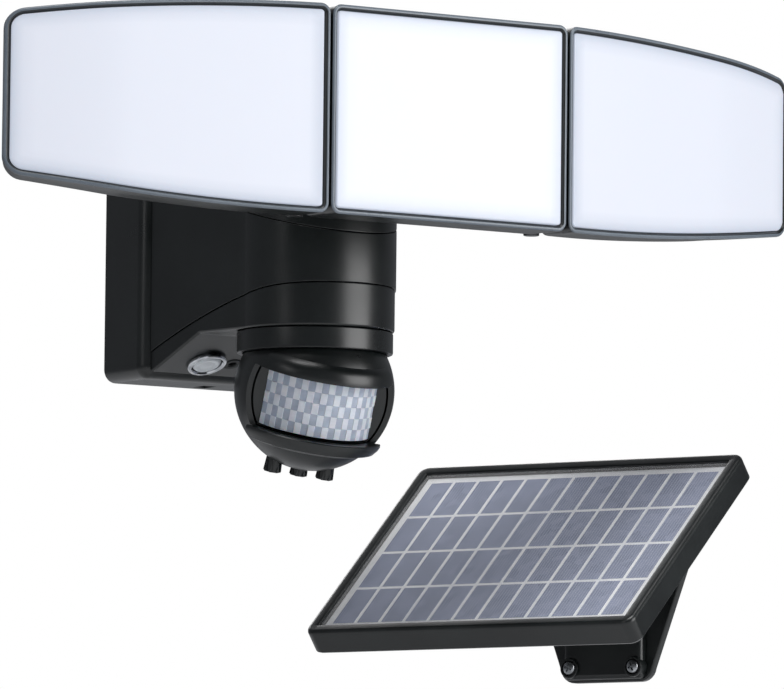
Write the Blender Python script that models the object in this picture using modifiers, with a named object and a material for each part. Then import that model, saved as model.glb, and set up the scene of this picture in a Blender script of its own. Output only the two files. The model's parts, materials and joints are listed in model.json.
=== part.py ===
"""Solar flood light: a three-panel head on a wall arm, a sensor ball and a separate solar panel.

Frame: the wall is the plane Y = 0, the lamp faces -Y, X runs to the lamp's right as seen from
the front, and Z is up. The origin is the centre of the wall box's back face. All lengths are metres.
"""

import math

import bmesh
import bpy
from mathutils import Matrix, Vector

# Driving dimensions ---------------------------------------------------------------------------
GAP = 0.0003
WELD = 0.00001

BOX_HALF_WIDTH = 0.0475
BOX_HALF_HEIGHT = 0.0595
BOX_DEPTH = 0.0335
BOX_CORNER = 0.006
WALL = 0.0026

COLUMN_Y = -0.104
COLUMN_RADIUS = 0.0365
LOWER_STEP = 0.0005
ARM_ROOT_HALF_WIDTH = 0.0437
ARM_ROOT_Y = -BOX_DEPTH - GAP
ARM_FRONT_Y = COLUMN_Y - COLUMN_RADIUS - 0.002
SEAM_LOW_Z = -0.0212
SEAM_DROP = 0.0261
SEAM_POWER = 1.7
TOP_SEAM_FRONT_Z = 0.0015
TOP_SEAM_SLOPE = 0.263
COVER_BACK_Z = 0.046
COVER_FRONT_Z = 0.020
FLOOR_Z = -0.041
SLOPE_START = (ARM_ROOT_Y, -0.0568)
SLOPE_END = (-0.0650, -0.0424)

BUTTON_X = -0.0205
BUTTON_Y = -0.045
SOCKET_X = -0.0065
BUTTON_RADIUS = 0.0068
RING_RADIUS = 0.0093

CELL_RADIUS = 0.0091
CELL_LENGTH = 0.065
CELL_ROWS_Y = (-0.047, -0.066, -0.085)
CELL_Z = -0.008

BALL_RADIUS = 0.0363
BALL_WALL = 0.0022
BALL_CENTRE = Vector((0.0, COLUMN_Y, -0.0675))
BALL_PAN = math.radians(-21.5)
BALL_TILT = math.radians(17.0)
BALL_ROLL = math.radians(7.0)
BALL_MOUTH_Z = -0.045
COLLAR_RADIUS = 0.0354
COLLAR_BOTTOM_Z = -0.051
FRAME_CLEARANCE = 0.0009
WINDOW_TOP = 0.0107
WINDOW_BOTTOM = -0.017
WINDOW_BACK = -0.013
LENS_RADIUS = 0.0288
KNOB_PITCH = 0.0122
KNOB_RADIUS = 0.0037
PIN_RADIUS = 0.002

HEAD_FRONT_Y = -0.213
HEAD_TOP_Z = 0.093
HEAD_DEPTH = 0.025
SEAM_X = 0.0634
SEAM_HALF_GAP = 0.0006
SIDE_LENGTH = 0.1465
SIDE_SWEEP_SLOPE = 0.175
SIDE_CURL_START = 0.095
SIDE_CURL = 4.1
SIDE_TAPER = 0.0108
INNER_CORNER = 0.0045
OUTER_CORNER = 0.008
RIM_WIDTH = 0.0026
BEZEL_DEPTH = 0.009
TILT_AXIS = Vector((0.0, -0.172, 0.0465))
FOLD_AXIS_Y = -0.184
KNUCKLE_RADIUS = 0.009
LUG_RADIUS = 0.0038

SOLAR_CENTRE = Vector((0.111, -0.110, -0.1312))
SOLAR_TURN = math.radians(-67.65)
SOLAR_TILT = math.radians(41.0)
SOLAR_HALF_LENGTH = 0.089
SOLAR_HALF_WIDTH = 0.0635
SOLAR_DEPTH = 0.0129
SOLAR_RIM = 0.006
SOLAR_AXIS_BACK = 0.026
SOLAR_AXIS_Z = -0.007
SOLAR_NOSE = 0.0075
BRACKET_WALL = 0.0745
BRACKET_FLANGE = 0.0035
BRACKET_BOTTOM_Z = -0.0603
BRACKET_TOP_Z = 0.0005
SCREW_Z = -0.0536
SCREW_X = 0.0175

# Collections and materials ----------------------------------------------------------------------
for old in list(bpy.data.objects):
    bpy.data.objects.remove(old)

parts = bpy.data.collections.new("solar_flood_light")
cutters = bpy.data.collections.new("cutters")
bpy.context.scene.collection.children.link(parts)
bpy.context.scene.collection.children.link(cutters)


def material(name, colour, roughness, metallic=0.0):
    """Principled material with one plain finish."""
    made = bpy.data.materials.new(name)
    made.use_nodes = True
    shader = made.node_tree.nodes["Principled BSDF"]
    shader.inputs["Base Color"].default_value = (*colour, 1.0)
    shader.inputs["Roughness"].default_value = roughness
    shader.inputs["Metallic"].default_value = metallic
    return made


BLACK = material("black_housing", (0.014, 0.018, 0.018), 0.42)
RIM = material("grey_rim", (0.055, 0.062, 0.068), 0.38)
MILKY = material("milky_diffuser", (0.86, 0.89, 0.95), 0.3)
LENS = material("sensor_lens", (0.66, 0.70, 0.76), 0.25)
STEEL = material("zinc_screw", (0.55, 0.56, 0.58), 0.35, 1.0)
CHROME = material("bright_ring", (0.75, 0.76, 0.78), 0.12, 1.0)
PALE = material("pale_button", (0.72, 0.75, 0.78), 0.3)
BOARD = material("circuit_board", (0.03, 0.16, 0.06), 0.5)
WHITE_BOARD = material("white_board", (0.8, 0.8, 0.78), 0.5)
CELL = material("battery_sleeve", (0.05, 0.14, 0.4), 0.4)
SOLAR = material("solar_cell", (0.14, 0.16, 0.33), 0.25)
GLASS = material("solar_glass", (0.75, 0.8, 0.85), 0.08)


# Helpers ----------------------------------------------------------------------------------------
def link(obj, finish, parent=None, keep_world=False):
    """Put a part in the object's collection with its finish and parent."""
    for old_home in list(obj.users_collection):
        old_home.objects.unlink(obj)
    parts.objects.link(obj)
    obj.data.materials.clear()
    obj.data.materials.append(finish)
    if parent is not None:
        obj.parent = parent
        if keep_world:
            obj.matrix_parent_inverse = parent.matrix_basis.inverted()
    return obj


def as_cutter(obj, parent=None):
    """Put an object that only shapes others in the cutters collection."""
    for old_home in list(obj.users_collection):
        old_home.objects.unlink(obj)
    cutters.objects.link(obj)
    obj.display_type = "WIRE"
    obj.hide_render = True
    if parent is not None:
        obj.parent = parent
    return obj


def boolean(obj, operand, operation, parent=None):
    """Add an exact Boolean to a part; the operand becomes a cutter."""
    as_cutter(operand, parent)
    step = obj.modifiers.new(operation.lower(), "BOOLEAN")
    step.operation = operation
    step.solver = "EXACT"
    step.object = operand
    return obj


def cut(obj, *operands, parent=None):
    """Take each operand away from a part."""
    for operand in operands:
        boolean(obj, operand, "DIFFERENCE", parent)
    return obj


def join(obj, *operands, parent=None):
    """Weld each operand onto a part."""
    for operand in operands:
        boolean(obj, operand, "UNION", parent)
    return obj


def common(obj, operand, parent=None):
    """Keep only what a part shares with the operand."""
    return boolean(obj, operand, "INTERSECT", parent)


def from_bmesh(name, bm):
    """New object from a bmesh."""
    mesh = bpy.data.meshes.new(name)
    bm.to_mesh(mesh)
    bm.free()
    obj = bpy.data.objects.new(name, mesh)
    bpy.context.scene.collection.objects.link(obj)
    return obj


def smooth(obj, degrees=35.0):
    """Shade round faces smooth and keep real edges sharp."""
    obj.data.shade_smooth()
    obj.data.set_sharp_from_angle(angle=math.radians(degrees))
    return obj


def bevel(obj, width, segments=2):
    """Round a part's sharp edges."""
    step = obj.modifiers.new("bevel", "BEVEL")
    step.width = width
    step.segments = segments
    step.limit_method = "ANGLE"
    step.angle_limit = math.radians(50.0)
    return obj


def box(name, low, high, round_edges=0.0, segments=2):
    """Box between two corners."""
    low, high = Vector(low), Vector(high)
    bm = bmesh.new()
    bmesh.ops.create_cube(bm, size=1.0)
    size = high - low
    middle = (high + low) / 2.0
    bmesh.ops.scale(bm, vec=size, verts=bm.verts)
    bmesh.ops.translate(bm, vec=middle, verts=bm.verts)
    obj = from_bmesh(name, bm)
    if round_edges > 0.0:
        bevel(obj, round_edges, segments)
    return obj


def rod(name, start, end, radius, sides=24, end_radius=None):
    """Cylinder or cone from one point to another."""
    start, end = Vector(start), Vector(end)
    run = end - start
    bm = bmesh.new()
    bmesh.ops.create_cone(
        bm,
        cap_ends=True,
        segments=sides,
        radius1=radius,
        radius2=radius if end_radius is None else end_radius,
        depth=run.length,
    )
    turn = run.to_track_quat("Z", "Y").to_matrix().to_4x4()
    bmesh.ops.transform(bm, matrix=Matrix.Translation((start + end) / 2.0) @ turn, verts=bm.verts)
    return smooth(from_bmesh(name, bm))


def turned(name, profile, steps=32, closed=False):
    """Turned shape about Z from (radius, height) points that run top to bottom on the outside."""
    mesh = bpy.data.meshes.new(name)
    points = [(radius, 0.0, height) for radius, height in profile]
    edges = [(i, i + 1) for i in range(len(points) - 1)]
    if closed:
        edges.append((len(points) - 1, 0))
    mesh.from_pydata(points, edges, [])
    obj = bpy.data.objects.new(name, mesh)
    bpy.context.scene.collection.objects.link(obj)
    step = obj.modifiers.new("screw", "SCREW")
    step.axis = "Z"
    step.steps = steps
    step.render_steps = steps
    step.use_merge_vertices = True
    step.merge_threshold = WELD
    return obj


def prism(name, outline, low, high, plane="XY"):
    """Flat outline extruded between two levels: along Z for XY, along X for YZ, along Y for XZ."""
    curve = bpy.data.curves.new(name, "CURVE")
    curve.dimensions = "2D"
    curve.fill_mode = "BOTH"
    curve.extrude = (high - low) / 2.0
    spline = curve.splines.new("POLY")
    spline.points.add(len(outline) - 1)
    for point, (across, up) in zip(spline.points, outline):
        point.co = (across, up, 0.0, 1.0)
    spline.use_cyclic_u = True
    flat = bpy.data.objects.new(name, curve)
    bpy.context.scene.collection.objects.link(flat)
    middle = (low + high) / 2.0
    frames = {
        "XY": Matrix(((1, 0, 0, 0), (0, 1, 0, 0), (0, 0, 1, middle), (0, 0, 0, 1))),
        "YZ": Matrix(((0, 0, 1, middle), (1, 0, 0, 0), (0, 1, 0, 0), (0, 0, 0, 1))),
        "XZ": Matrix(((1, 0, 0, 0), (0, 0, -1, middle), (0, 1, 0, 0), (0, 0, 0, 1))),
    }
    bpy.context.view_layer.update()
    graph = bpy.context.evaluated_depsgraph_get()
    mesh = bpy.data.meshes.new_from_object(flat.evaluated_get(graph))
    bpy.data.objects.remove(flat)
    bm = bmesh.new()
    bm.from_mesh(mesh)
    bmesh.ops.remove_doubles(bm, verts=bm.verts, dist=WELD)
    bmesh.ops.transform(bm, matrix=frames[plane], verts=bm.verts)
    bmesh.ops.recalc_face_normals(bm, faces=bm.faces)
    return smooth(from_bmesh(name, bm))


def slab(name, stations, bottom, top, path, near, far, mirror=False):
    """Closed slab along X between two depths; path gives the plan point for a station and a depth."""
    bm = bmesh.new()
    bmesh.ops.create_cube(bm, size=1.0)
    along = [e for e in bm.edges if abs(e.verts[0].co.x - e.verts[1].co.x) > 0.5]
    last = len(stations) - 1
    bmesh.ops.subdivide_edges(bm, edges=along, cuts=last - 1, use_grid_fill=True)
    for vert in bm.verts:
        x = stations[round((vert.co.x + 0.5) * last)]
        z = top(x) if vert.co.z > 0.0 else bottom(x)
        plan_x, plan_y = path(x, far if vert.co.y > 0.0 else near)
        vert.co = (plan_x, plan_y, z)
    if mirror:
        bmesh.ops.scale(bm, vec=(-1.0, 1.0, 1.0), verts=bm.verts)
        bmesh.ops.reverse_faces(bm, faces=bm.faces)
    return smooth(from_bmesh(name, bm))


def empty(name, location, rotation=None):
    """Empty on a joint's axis."""
    obj = bpy.data.objects.new(name, None)
    parts.objects.link(obj)
    matrix = Matrix.Translation(location)
    if rotation is not None:
        matrix = matrix @ rotation.to_4x4()
    obj.matrix_basis = matrix
    obj.empty_display_size = 0.02
    return obj


# Wall box ---------------------------------------------------------------------------------------
def build_wall_box():
    """Box, plate and screws that hold the lamp to the wall."""
    shell = box(
        "wall_box",
        (-BOX_HALF_WIDTH, -BOX_DEPTH, -BOX_HALF_HEIGHT),
        (BOX_HALF_WIDTH, 2 * BOX_CORNER, BOX_HALF_HEIGHT),
        BOX_CORNER,
        3,
    )
    inner = BOX_HALF_WIDTH - WALL
    inner_height = BOX_HALF_HEIGHT - WALL
    cut(
        shell,
        box("box_cavity", (-inner, WALL - BOX_DEPTH, -inner_height), (inner, 0.02, inner_height), 0.004),
        box("box_back_trim", (-0.1, 0.0, -0.1), (0.1, 0.05, 0.1)),
        box("wire_window", (-0.012, -0.05, -0.01), (0.012, -0.02, 0.014)),
        box("drain_slot", (-0.0035, -0.016, -0.07), (0.0035, -0.006, -0.05)),
    )
    link(shell, BLACK)

    margin = WALL + GAP
    plate_x = BOX_HALF_WIDTH - margin - 0.0015
    plate_z = BOX_HALF_HEIGHT - margin - 0.0015
    plate = box("wall_plate", (-plate_x, -0.004, -plate_z), (plate_x, 0.0, plate_z))
    number = 0
    for sign_x in (-1, 1):
        for sign_z in (-1, 1):
            number += 1
            x, z = sign_x * 0.031, sign_z * 0.041
            cut(plate, rod("wall_screw_hole", (x, -0.01, z), (x, 0.01, z), 0.0024))
            head = turned(
                f"wall_screw_{number}",
                [
                    (0.0, 0.0030),
                    (0.0030, 0.0026),
                    (0.0042, 0.0),
                    (0.0021, 0.0),
                    (0.0021, -0.004),
                    (0.0, -0.004),
                ],
                20,
            )
            head.matrix_basis = Matrix.Translation((x, -0.0043, z)) @ Matrix.Rotation(math.pi / 2, 4, "X")
            link(head, STEEL)
    link(plate, STEEL)


# Arm --------------------------------------------------------------------------------------------
def arm_outline(inset):
    """Plan of the arm: straight sides that narrow to the round column."""
    radius = COLUMN_RADIUS - inset
    root = ARM_ROOT_HALF_WIDTH - inset
    back_y = ARM_ROOT_Y - inset if inset > LOWER_STEP else ARM_ROOT_Y
    start = math.atan2(root - radius, back_y - COLUMN_Y)
    count = 30
    points = [(root, back_y)]
    for i in range(count + 1):
        angle = start - (math.pi + 2 * start) * i / count
        points.append((radius * math.cos(angle), COLUMN_Y + radius * math.sin(angle)))
    points.append((-root, back_y))
    return points


def lower_seam(y):
    """Height of the curved seam between the upper and lower housings."""
    front = COLUMN_Y - 0.035
    share = max(0.0, (y - front) / (ARM_ROOT_Y - front))
    return SEAM_LOW_Z - SEAM_DROP * share**SEAM_POWER


def top_seam(y):
    """Height of the sloping seam under the top cover."""
    return TOP_SEAM_FRONT_Z + TOP_SEAM_SLOPE * (y - COLUMN_Y + COLUMN_RADIUS)


def seam_points(count=12):
    """The lower seam from the wall end to the front."""
    back_y, front_y = ARM_ROOT_Y + 0.005, ARM_FRONT_Y
    rows = [back_y + (front_y - back_y) * i / count for i in range(count + 1)]
    return [(y, lower_seam(min(y, ARM_ROOT_Y))) for y in rows]


def underside(lift):
    """Underside of the lower housing, from the wall end to the front, raised by lift."""
    (y0, z0), (y1, z1) = SLOPE_START, SLOPE_END
    slope = (z1 - z0) / (y1 - y0)
    back_y = y0 + 0.005
    return [
        (back_y, z0 + slope * (back_y - y0) + lift),
        (y1, z1 + lift),
        (y1 - 0.003, FLOOR_Z + lift),
        (ARM_FRONT_Y, FLOOR_Z + lift),
    ]


def build_arm():
    """Upper housing, lower housing, top cover and what they hold."""
    half_gap = GAP / 2
    seam = seam_points()
    span = (-0.06, 0.06)

    upper = prism("arm_upper", arm_outline(0.0), *span)
    band = [(y, z + half_gap) for y, z in seam]
    band += [(ARM_FRONT_Y, top_seam(ARM_FRONT_Y) - half_gap)]
    band += [(ARM_ROOT_Y + 0.005, top_seam(ARM_ROOT_Y + 0.005) - half_gap)]
    common(upper, prism("upper_band", band, *span, plane="YZ"))
    cut(
        upper,
        prism("arm_cavity", arm_outline(WALL), -0.07, 0.07),
        box("arm_wire_window", (-0.012, -0.05, -0.01), (0.012, -0.02, 0.014)),
    )
    link(upper, BLACK)

    lower = prism("arm_lower", arm_outline(LOWER_STEP), *span)
    low_band = underside(0.0) + [(y, z - half_gap) for y, z in reversed(seam)]
    common(lower, prism("lower_band", low_band, *span, plane="YZ"))
    cavity = prism("lower_cavity", arm_outline(WALL + LOWER_STEP), *span)
    above = underside(WALL) + [(ARM_FRONT_Y, 0.03), (ARM_ROOT_Y + 0.005, 0.03)]
    common(cavity, prism("above_floor", above, *span, plane="YZ"))
    cut(
        lower,
        cavity,
        rod("collar_hole", (0, COLUMN_Y, -0.05), (0, COLUMN_Y, -0.03), 0.031, 40),
    )
    link(lower, BLACK)

    cover = prism("top_cover", arm_outline(0.0), -0.02, 0.08)
    back_y = ARM_ROOT_Y + 0.005
    slope = (COVER_BACK_Z - COVER_FRONT_Z) / (ARM_ROOT_Y - ARM_FRONT_Y)
    back_z = COVER_BACK_Z + slope * 0.005
    lid = [
        (back_y, top_seam(back_y) + half_gap),
        (ARM_FRONT_Y, top_seam(ARM_FRONT_Y) + half_gap),
        (ARM_FRONT_Y, COVER_FRONT_Z),
        (back_y, back_z),
    ]
    common(cover, prism("lid_band", lid, *span, plane="YZ"))
    bevel(cover, 0.003)
    cover.modifiers["bevel"].angle_limit = math.radians(60.0)
    hollow = prism("lid_cavity", arm_outline(WALL + 0.001), -0.02, 0.08)
    under = [
        (back_y, -0.01),
        (ARM_FRONT_Y, -0.03),
        (ARM_FRONT_Y, COVER_FRONT_Z - WALL),
        (back_y, back_z - WALL),
    ]
    common(hollow, prism("under_lid", under, *span, plane="YZ"))
    cut(cover, hollow)
    link(cover, BLACK)
    return lower


def build_contents():
    """Battery pack and main board inside the arm."""
    tray_front, tray_back = -0.0955, -0.0369
    tray_half, tray_low, tray_high = 0.0340, -0.020, -0.010
    tray = box("battery_tray", (-tray_half, tray_front, tray_low), (tray_half, tray_back, tray_high))
    wall = 0.0012
    cut(
        tray,
        box(
            "tray_cavity",
            (-tray_half + wall, tray_front + wall, tray_low + wall),
            (tray_half - wall, tray_back - wall, 0.01),
        ),
    )
    link(tray, BLACK)
    half = CELL_LENGTH / 2
    for number, y in enumerate(CELL_ROWS_Y, 1):
        link(rod(f"battery_cell_{number}", (-half, y, CELL_Z), (half, y, CELL_Z), CELL_RADIUS), CELL)
    board = box("main_board", (-0.030, -0.094, -0.0240), (0.030, -0.042, -0.0224))
    link(board, BOARD)


def build_button(lower):
    """Push button with its bright ring, and the socket for the solar lead, on the sloped underside."""
    (y0, z0), (y1, z1) = SLOPE_START, SLOPE_END
    slope = (z1 - z0) / (y1 - y0)
    turn = Matrix.Rotation(math.pi - math.atan(-slope), 3, "X")
    button_at = Vector((BUTTON_X, BUTTON_Y, z0 + slope * (BUTTON_Y - y0)))
    socket_at = Vector((SOCKET_X, BUTTON_Y, button_at.z))
    button_frame = empty("button_axis", button_at, turn)
    socket_frame = empty("socket_axis", socket_at, turn)
    boolean(lower, rod("button_hole", (0, 0, -0.01), (0, 0, 0.005), 0.0083), "DIFFERENCE", button_frame)
    boolean(lower, rod("socket_hole", (0, 0, -0.01), (0, 0, 0.005), 0.0045), "DIFFERENCE", socket_frame)
    bore = BUTTON_RADIUS + GAP
    ring = turned(
        "button_ring",
        [
            (bore + 0.0004, 0.0022),
            (RING_RADIUS - 0.0008, 0.0020),
            (RING_RADIUS, 0.0010),
            (RING_RADIUS, GAP),
            (0.0080, GAP),
            (0.0080, -0.0055),
            (bore, -0.0055),
            (bore, 0.0016),
        ],
        28,
        closed=True,
    )
    link(smooth(ring), CHROME, button_frame)
    cap = turned(
        "button_cap",
        [
            (0.0, 0.0024),
            (0.0040, 0.0022),
            (0.0060, 0.0016),
            (BUTTON_RADIUS, 0.0006),
            (BUTTON_RADIUS, -0.0045),
            (0.0, -0.0045),
        ],
        32,
    )
    link(smooth(cap), PALE, button_frame)
    socket = turned(
        "lead_socket",
        [
            (0.0, -0.006),
            (0.0019, -0.006),
            (0.0019, 0.0004),
            (0.0042, 0.0004),
            (0.0042, -0.008),
            (0.0, -0.008),
        ],
        24,
    )
    link(smooth(socket), BLACK, socket_frame)


# Sensor -----------------------------------------------------------------------------------------
def ball_turn():
    """Rotation of the sensor ball: panned, tilted down and rolled a little."""
    pan = Matrix.Rotation(BALL_PAN, 3, "Z")
    tilt = Matrix.Rotation(BALL_TILT, 3, "X")
    roll = Matrix.Rotation(BALL_ROLL, 3, "Y")
    return pan @ tilt @ roll


def build_collar():
    """Turning collar and the yoke that carries the ball."""
    neck_in, neck_out, lip = 0.0276, 0.0307, 0.0326
    collar = turned(
        "sensor_collar",
        [
            (neck_in, -0.0360),
            (lip, -0.0360),
            (lip, -0.0380),
            (neck_out, -0.0380),
            (neck_out, FLOOR_Z - GAP),
            (COLLAR_RADIUS, FLOOR_Z - GAP),
            (COLLAR_RADIUS, COLLAR_BOTTOM_Z),
            (0.0329, COLLAR_BOTTOM_Z),
            (0.0329, -0.0433),
            (neck_in, -0.0433),
        ],
        36,
        closed=True,
    )
    collar.location = (0.0, COLUMN_Y, 0.0)
    link(smooth(collar), BLACK)

    half_bar = neck_in - GAP
    yoke = box("sensor_yoke", (-half_bar, COLUMN_Y - 0.003, -0.0378), (half_bar, COLUMN_Y + 0.003, -0.0352))
    across = ball_turn() @ Vector((1.0, 0.0, 0.0))
    join(
        yoke,
        rod("yoke_stem", (0, COLUMN_Y, -0.0370), BALL_CENTRE, 0.003, 16),
        rod("yoke_barrel", BALL_CENTRE - across * 0.008, BALL_CENTRE + across * 0.008, 0.0038),
        rod("yoke_pin", BALL_CENTRE - across * 0.0145, BALL_CENTRE + across * 0.0145, PIN_RADIUS, 20),
    )
    link(yoke, BLACK)


def arc(radius, start, end, count):
    """Points on a circle about the origin, as (radius, height), by elevation in degrees."""
    angles = [math.radians(start + (end - start) * i / count) for i in range(count + 1)]
    return [(max(0.0, radius * math.cos(a)), radius * math.sin(a)) for a in angles]


def build_ball():
    """Sensor ball with its visor, window, lens, detector and setting knobs."""
    frame = empty("ball_axis", BALL_CENTRE, ball_turn())
    inside = BALL_RADIUS - BALL_WALL
    top_angle = 66.0
    profile = arc(inside, -90.0, top_angle, 10) + arc(BALL_RADIUS, top_angle, -90.0, 13)
    shell = turned("ball_shell", profile, 32)
    visor = turned(
        "visor",
        [
            (0.0290, 0.0180),
            (0.0302, 0.0185),
            (0.0333, 0.0158),
            (0.0343, 0.0132),
            (0.0344, WINDOW_TOP),
            (0.0325, WINDOW_TOP),
        ],
        28,
        closed=True,
    )
    visor.location = (0.0, -0.003, 0.0)
    common(visor, box("visor_front", (-0.05, -0.05, 0.0), (0.05, -0.019, 0.03)), parent=frame)
    lip = turned(
        "lip",
        [
            (0.0310, WINDOW_BOTTOM),
            (0.0338, WINDOW_BOTTOM),
            (0.0340, -0.0185),
            (0.0315, -0.0225),
            (0.0268, -0.0240),
        ],
        28,
        closed=True,
    )
    lip.location = (0.0, -0.002, 0.0)
    common(lip, box("lip_front", (-0.05, -0.05, -0.03), (0.05, -0.015, 0.0)), parent=frame)
    join(shell, visor, lip, parent=frame)
    slot = box("window_slot", (-0.05, -0.05, WINDOW_BOTTOM), (0.05, WINDOW_BACK, WINDOW_TOP))
    cut(shell, slot, parent=frame)
    knob_x = [-KNOB_PITCH, 0.0, KNOB_PITCH]
    for x in knob_x:
        cut(shell, rod("knob_hole", (x, 0, -0.040), (x, 0, -0.029), KNOB_RADIUS + GAP, 20), parent=frame)
    cut(shell, box("mouth_cut", (-0.05, COLUMN_Y - 0.05, BALL_MOUTH_Z), (0.05, COLUMN_Y + 0.05, 0.0)))
    link(shell, BLACK, frame)

    bm = bmesh.new()
    bmesh.ops.create_uvsphere(bm, u_segments=40, v_segments=20, radius=inside - FRAME_CLEARANCE)
    housing = from_bmesh("lens_frame", bm)
    lip_wall = 0.0018
    common(
        housing,
        box(
            "frame_keep",
            (-0.05, -0.05, WINDOW_BOTTOM - lip_wall),
            (0.05, WINDOW_BACK + lip_wall, WINDOW_TOP + lip_wall),
        ),
        parent=frame,
    )
    cut(
        housing,
        box("frame_slot", (-0.05, -0.05, WINDOW_BOTTOM + GAP), (0.05, WINDOW_BACK, WINDOW_TOP - GAP)),
        box("frame_window", (-0.021, -0.02, -0.014), (0.021, 0.0, 0.008)),
        parent=frame,
    )
    link(housing, BLACK, frame)

    lens_low, lens_high = -0.0158, 0.0097
    lens = turned(
        "sensor_lens",
        [
            (LENS_RADIUS - 0.0012, lens_high),
            (LENS_RADIUS, lens_high),
            (LENS_RADIUS, lens_low),
            (LENS_RADIUS - 0.0012, lens_low),
        ],
        72,
        closed=True,
    )
    common(lens, box("lens_keep", (-0.05, -0.05, -0.03), (0.05, WINDOW_BACK - GAP, 0.03)), parent=frame)
    link(smooth(lens), LENS, frame)

    link(box("sensor_board", (-0.020, -0.0096, -0.015), (0.020, -0.0080, 0.010)), BOARD, frame)
    detector = rod("heat_detector", (0, -0.0099, -0.002), (0, -0.0140, -0.002), 0.0046)
    link(detector, STEEL, frame)
    carrier = box("ball_carrier", (-0.024, -0.0077, -0.014), (0.024, -0.0042, 0.009))
    for sign in (-1, 1):
        x0, x1 = sign * 0.011 - 0.002, sign * 0.011 + 0.002
        cheek = box("carrier_cheek", (x0, -0.006, -0.006), (x1, 0.005, 0.006))
        join(carrier, cheek, parent=frame)
    cut(carrier, rod("carrier_bore", (-0.02, 0, 0), (0.02, 0, 0), PIN_RADIUS + GAP, 20), parent=frame)
    link(carrier, BLACK, frame)

    for name, x in zip(("range_knob", "time_knob", "dusk_knob"), knob_x):
        knob = rod(name, (0, 0, -0.0395), (0, 0, -0.0320), KNOB_RADIUS, 20)
        slot = box("knob_slot", (-0.003, -0.0005, -0.041), (0.003, 0.0005, -0.0387))
        for item in (knob, slot):
            item.location = (x, 0, 0)
        cut(knob, slot, parent=frame)
        link(knob, BLACK, frame)


# Head -------------------------------------------------------------------------------------------
class Panel:
    """One lamp panel: its outline, its sweep back and its stations along X."""

    def __init__(self, start, end, start_corner, end_corner, taper, swept, mirror=False):
        self.start = start
        self.end = end
        self.corners = (start_corner, end_corner)
        self.taper = taper
        self.swept = swept
        self.mirror = mirror

    def sweep(self, x):
        """How far the face lies behind the head's front plane at x."""
        if not self.swept:
            return 0.0
        run = x - self.start
        return SIDE_SWEEP_SLOPE * run + SIDE_CURL * max(0.0, run - SIDE_CURL_START) ** 2

    def path(self, x, depth):
        """Plan point that lies at a depth behind the face at x."""
        return x, HEAD_FRONT_Y + self.sweep(x) + depth

    def piece(self, name, inset, near, far):
        """Slab with its outline moved inwards by inset, between two depths behind the face."""
        x0, x1 = self.start + inset, self.end - inset
        r0, r1 = (max(0.0005, r - inset) for r in self.corners)
        arcs = [math.radians(a) for a in (0, 30, 60, 90)]
        stations = [x0 + r0 * (1 - math.cos(a)) for a in arcs]
        middle = 12 if self.swept else 2
        gap = (x1 - r1) - (x0 + r0)
        stations += [x0 + r0 + gap * i / (middle + 1) for i in range(1, middle + 1)]
        stations += [x1 - r1 * (1 - math.cos(a)) for a in reversed(arcs)]

        def shrink(x):
            """Rounded corners and the arched taper, as height lost at one edge."""
            lost = inset
            for near_end, radius in ((x - x0, r0), (x1 - x, r1)):
                if near_end < radius:
                    lost += radius - math.sqrt(max(0.0, radius**2 - (radius - near_end) ** 2))
            share = (x - self.start) / (self.end - self.start)
            return lost + self.taper * share**2

        return slab(
            name,
            stations,
            lambda x: shrink(x),
            lambda x: HEAD_TOP_Z - shrink(x),
            self.path,
            near,
            far,
            self.mirror,
        )


def build_panel(side, panel, parent):
    """Bezel, diffuser, lamp board and rear housing of one panel."""
    rim = panel.piece(f"{side}_bezel", 0.0, 0.0, BEZEL_DEPTH)
    cut(rim, panel.piece("bezel_hole", RIM_WIDTH, -0.005, BEZEL_DEPTH + 0.005))
    link(rim, RIM, parent, True)
    diffuser = panel.piece(f"{side}_diffuser", RIM_WIDTH + GAP, 0.0006, 0.0032)
    link(diffuser, MILKY, parent, True)
    board = panel.piece(f"{side}_lamp_board", 0.006, 0.0115, 0.0131)
    link(board, WHITE_BOARD, parent, True)
    housing = panel.piece(f"{side}_housing", 0.0004, BEZEL_DEPTH + GAP, HEAD_DEPTH)
    cut(housing, panel.piece("housing_cavity", 0.0030, 0.0, HEAD_DEPTH - 0.0025))
    link(housing, BLACK, parent, True)
    return housing


def build_lug(housing, side_sign, inner, levels):
    """Hinge lugs with their webs, on the centre housing (inner) or on a side housing."""
    x = side_sign * SEAM_X
    near, far = (0.0010, 0.0090)
    low_x, high_x = sorted((x - side_sign * far, x - side_sign * near) if inner
                           else (x + side_sign * near, x + side_sign * far))
    back_y = HEAD_FRONT_Y + HEAD_DEPTH
    for low, high in levels:
        web = box("lug_web", (low_x, back_y - 0.001, low), (high_x, FOLD_AXIS_Y + 0.002, high))
        lug = rod("lug", (x, FOLD_AXIS_Y, low), (x, FOLD_AXIS_Y, high), LUG_RADIUS, 20)
        join(housing, web, lug)


def pin_bore(sign):
    """Cutter for the hinge pin's bore at one seam."""
    x = sign * SEAM_X
    return rod("pin_bore", (x, FOLD_AXIS_Y, 0), (x, FOLD_AXIS_Y, HEAD_TOP_Z), 0.0018, 16)


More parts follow.
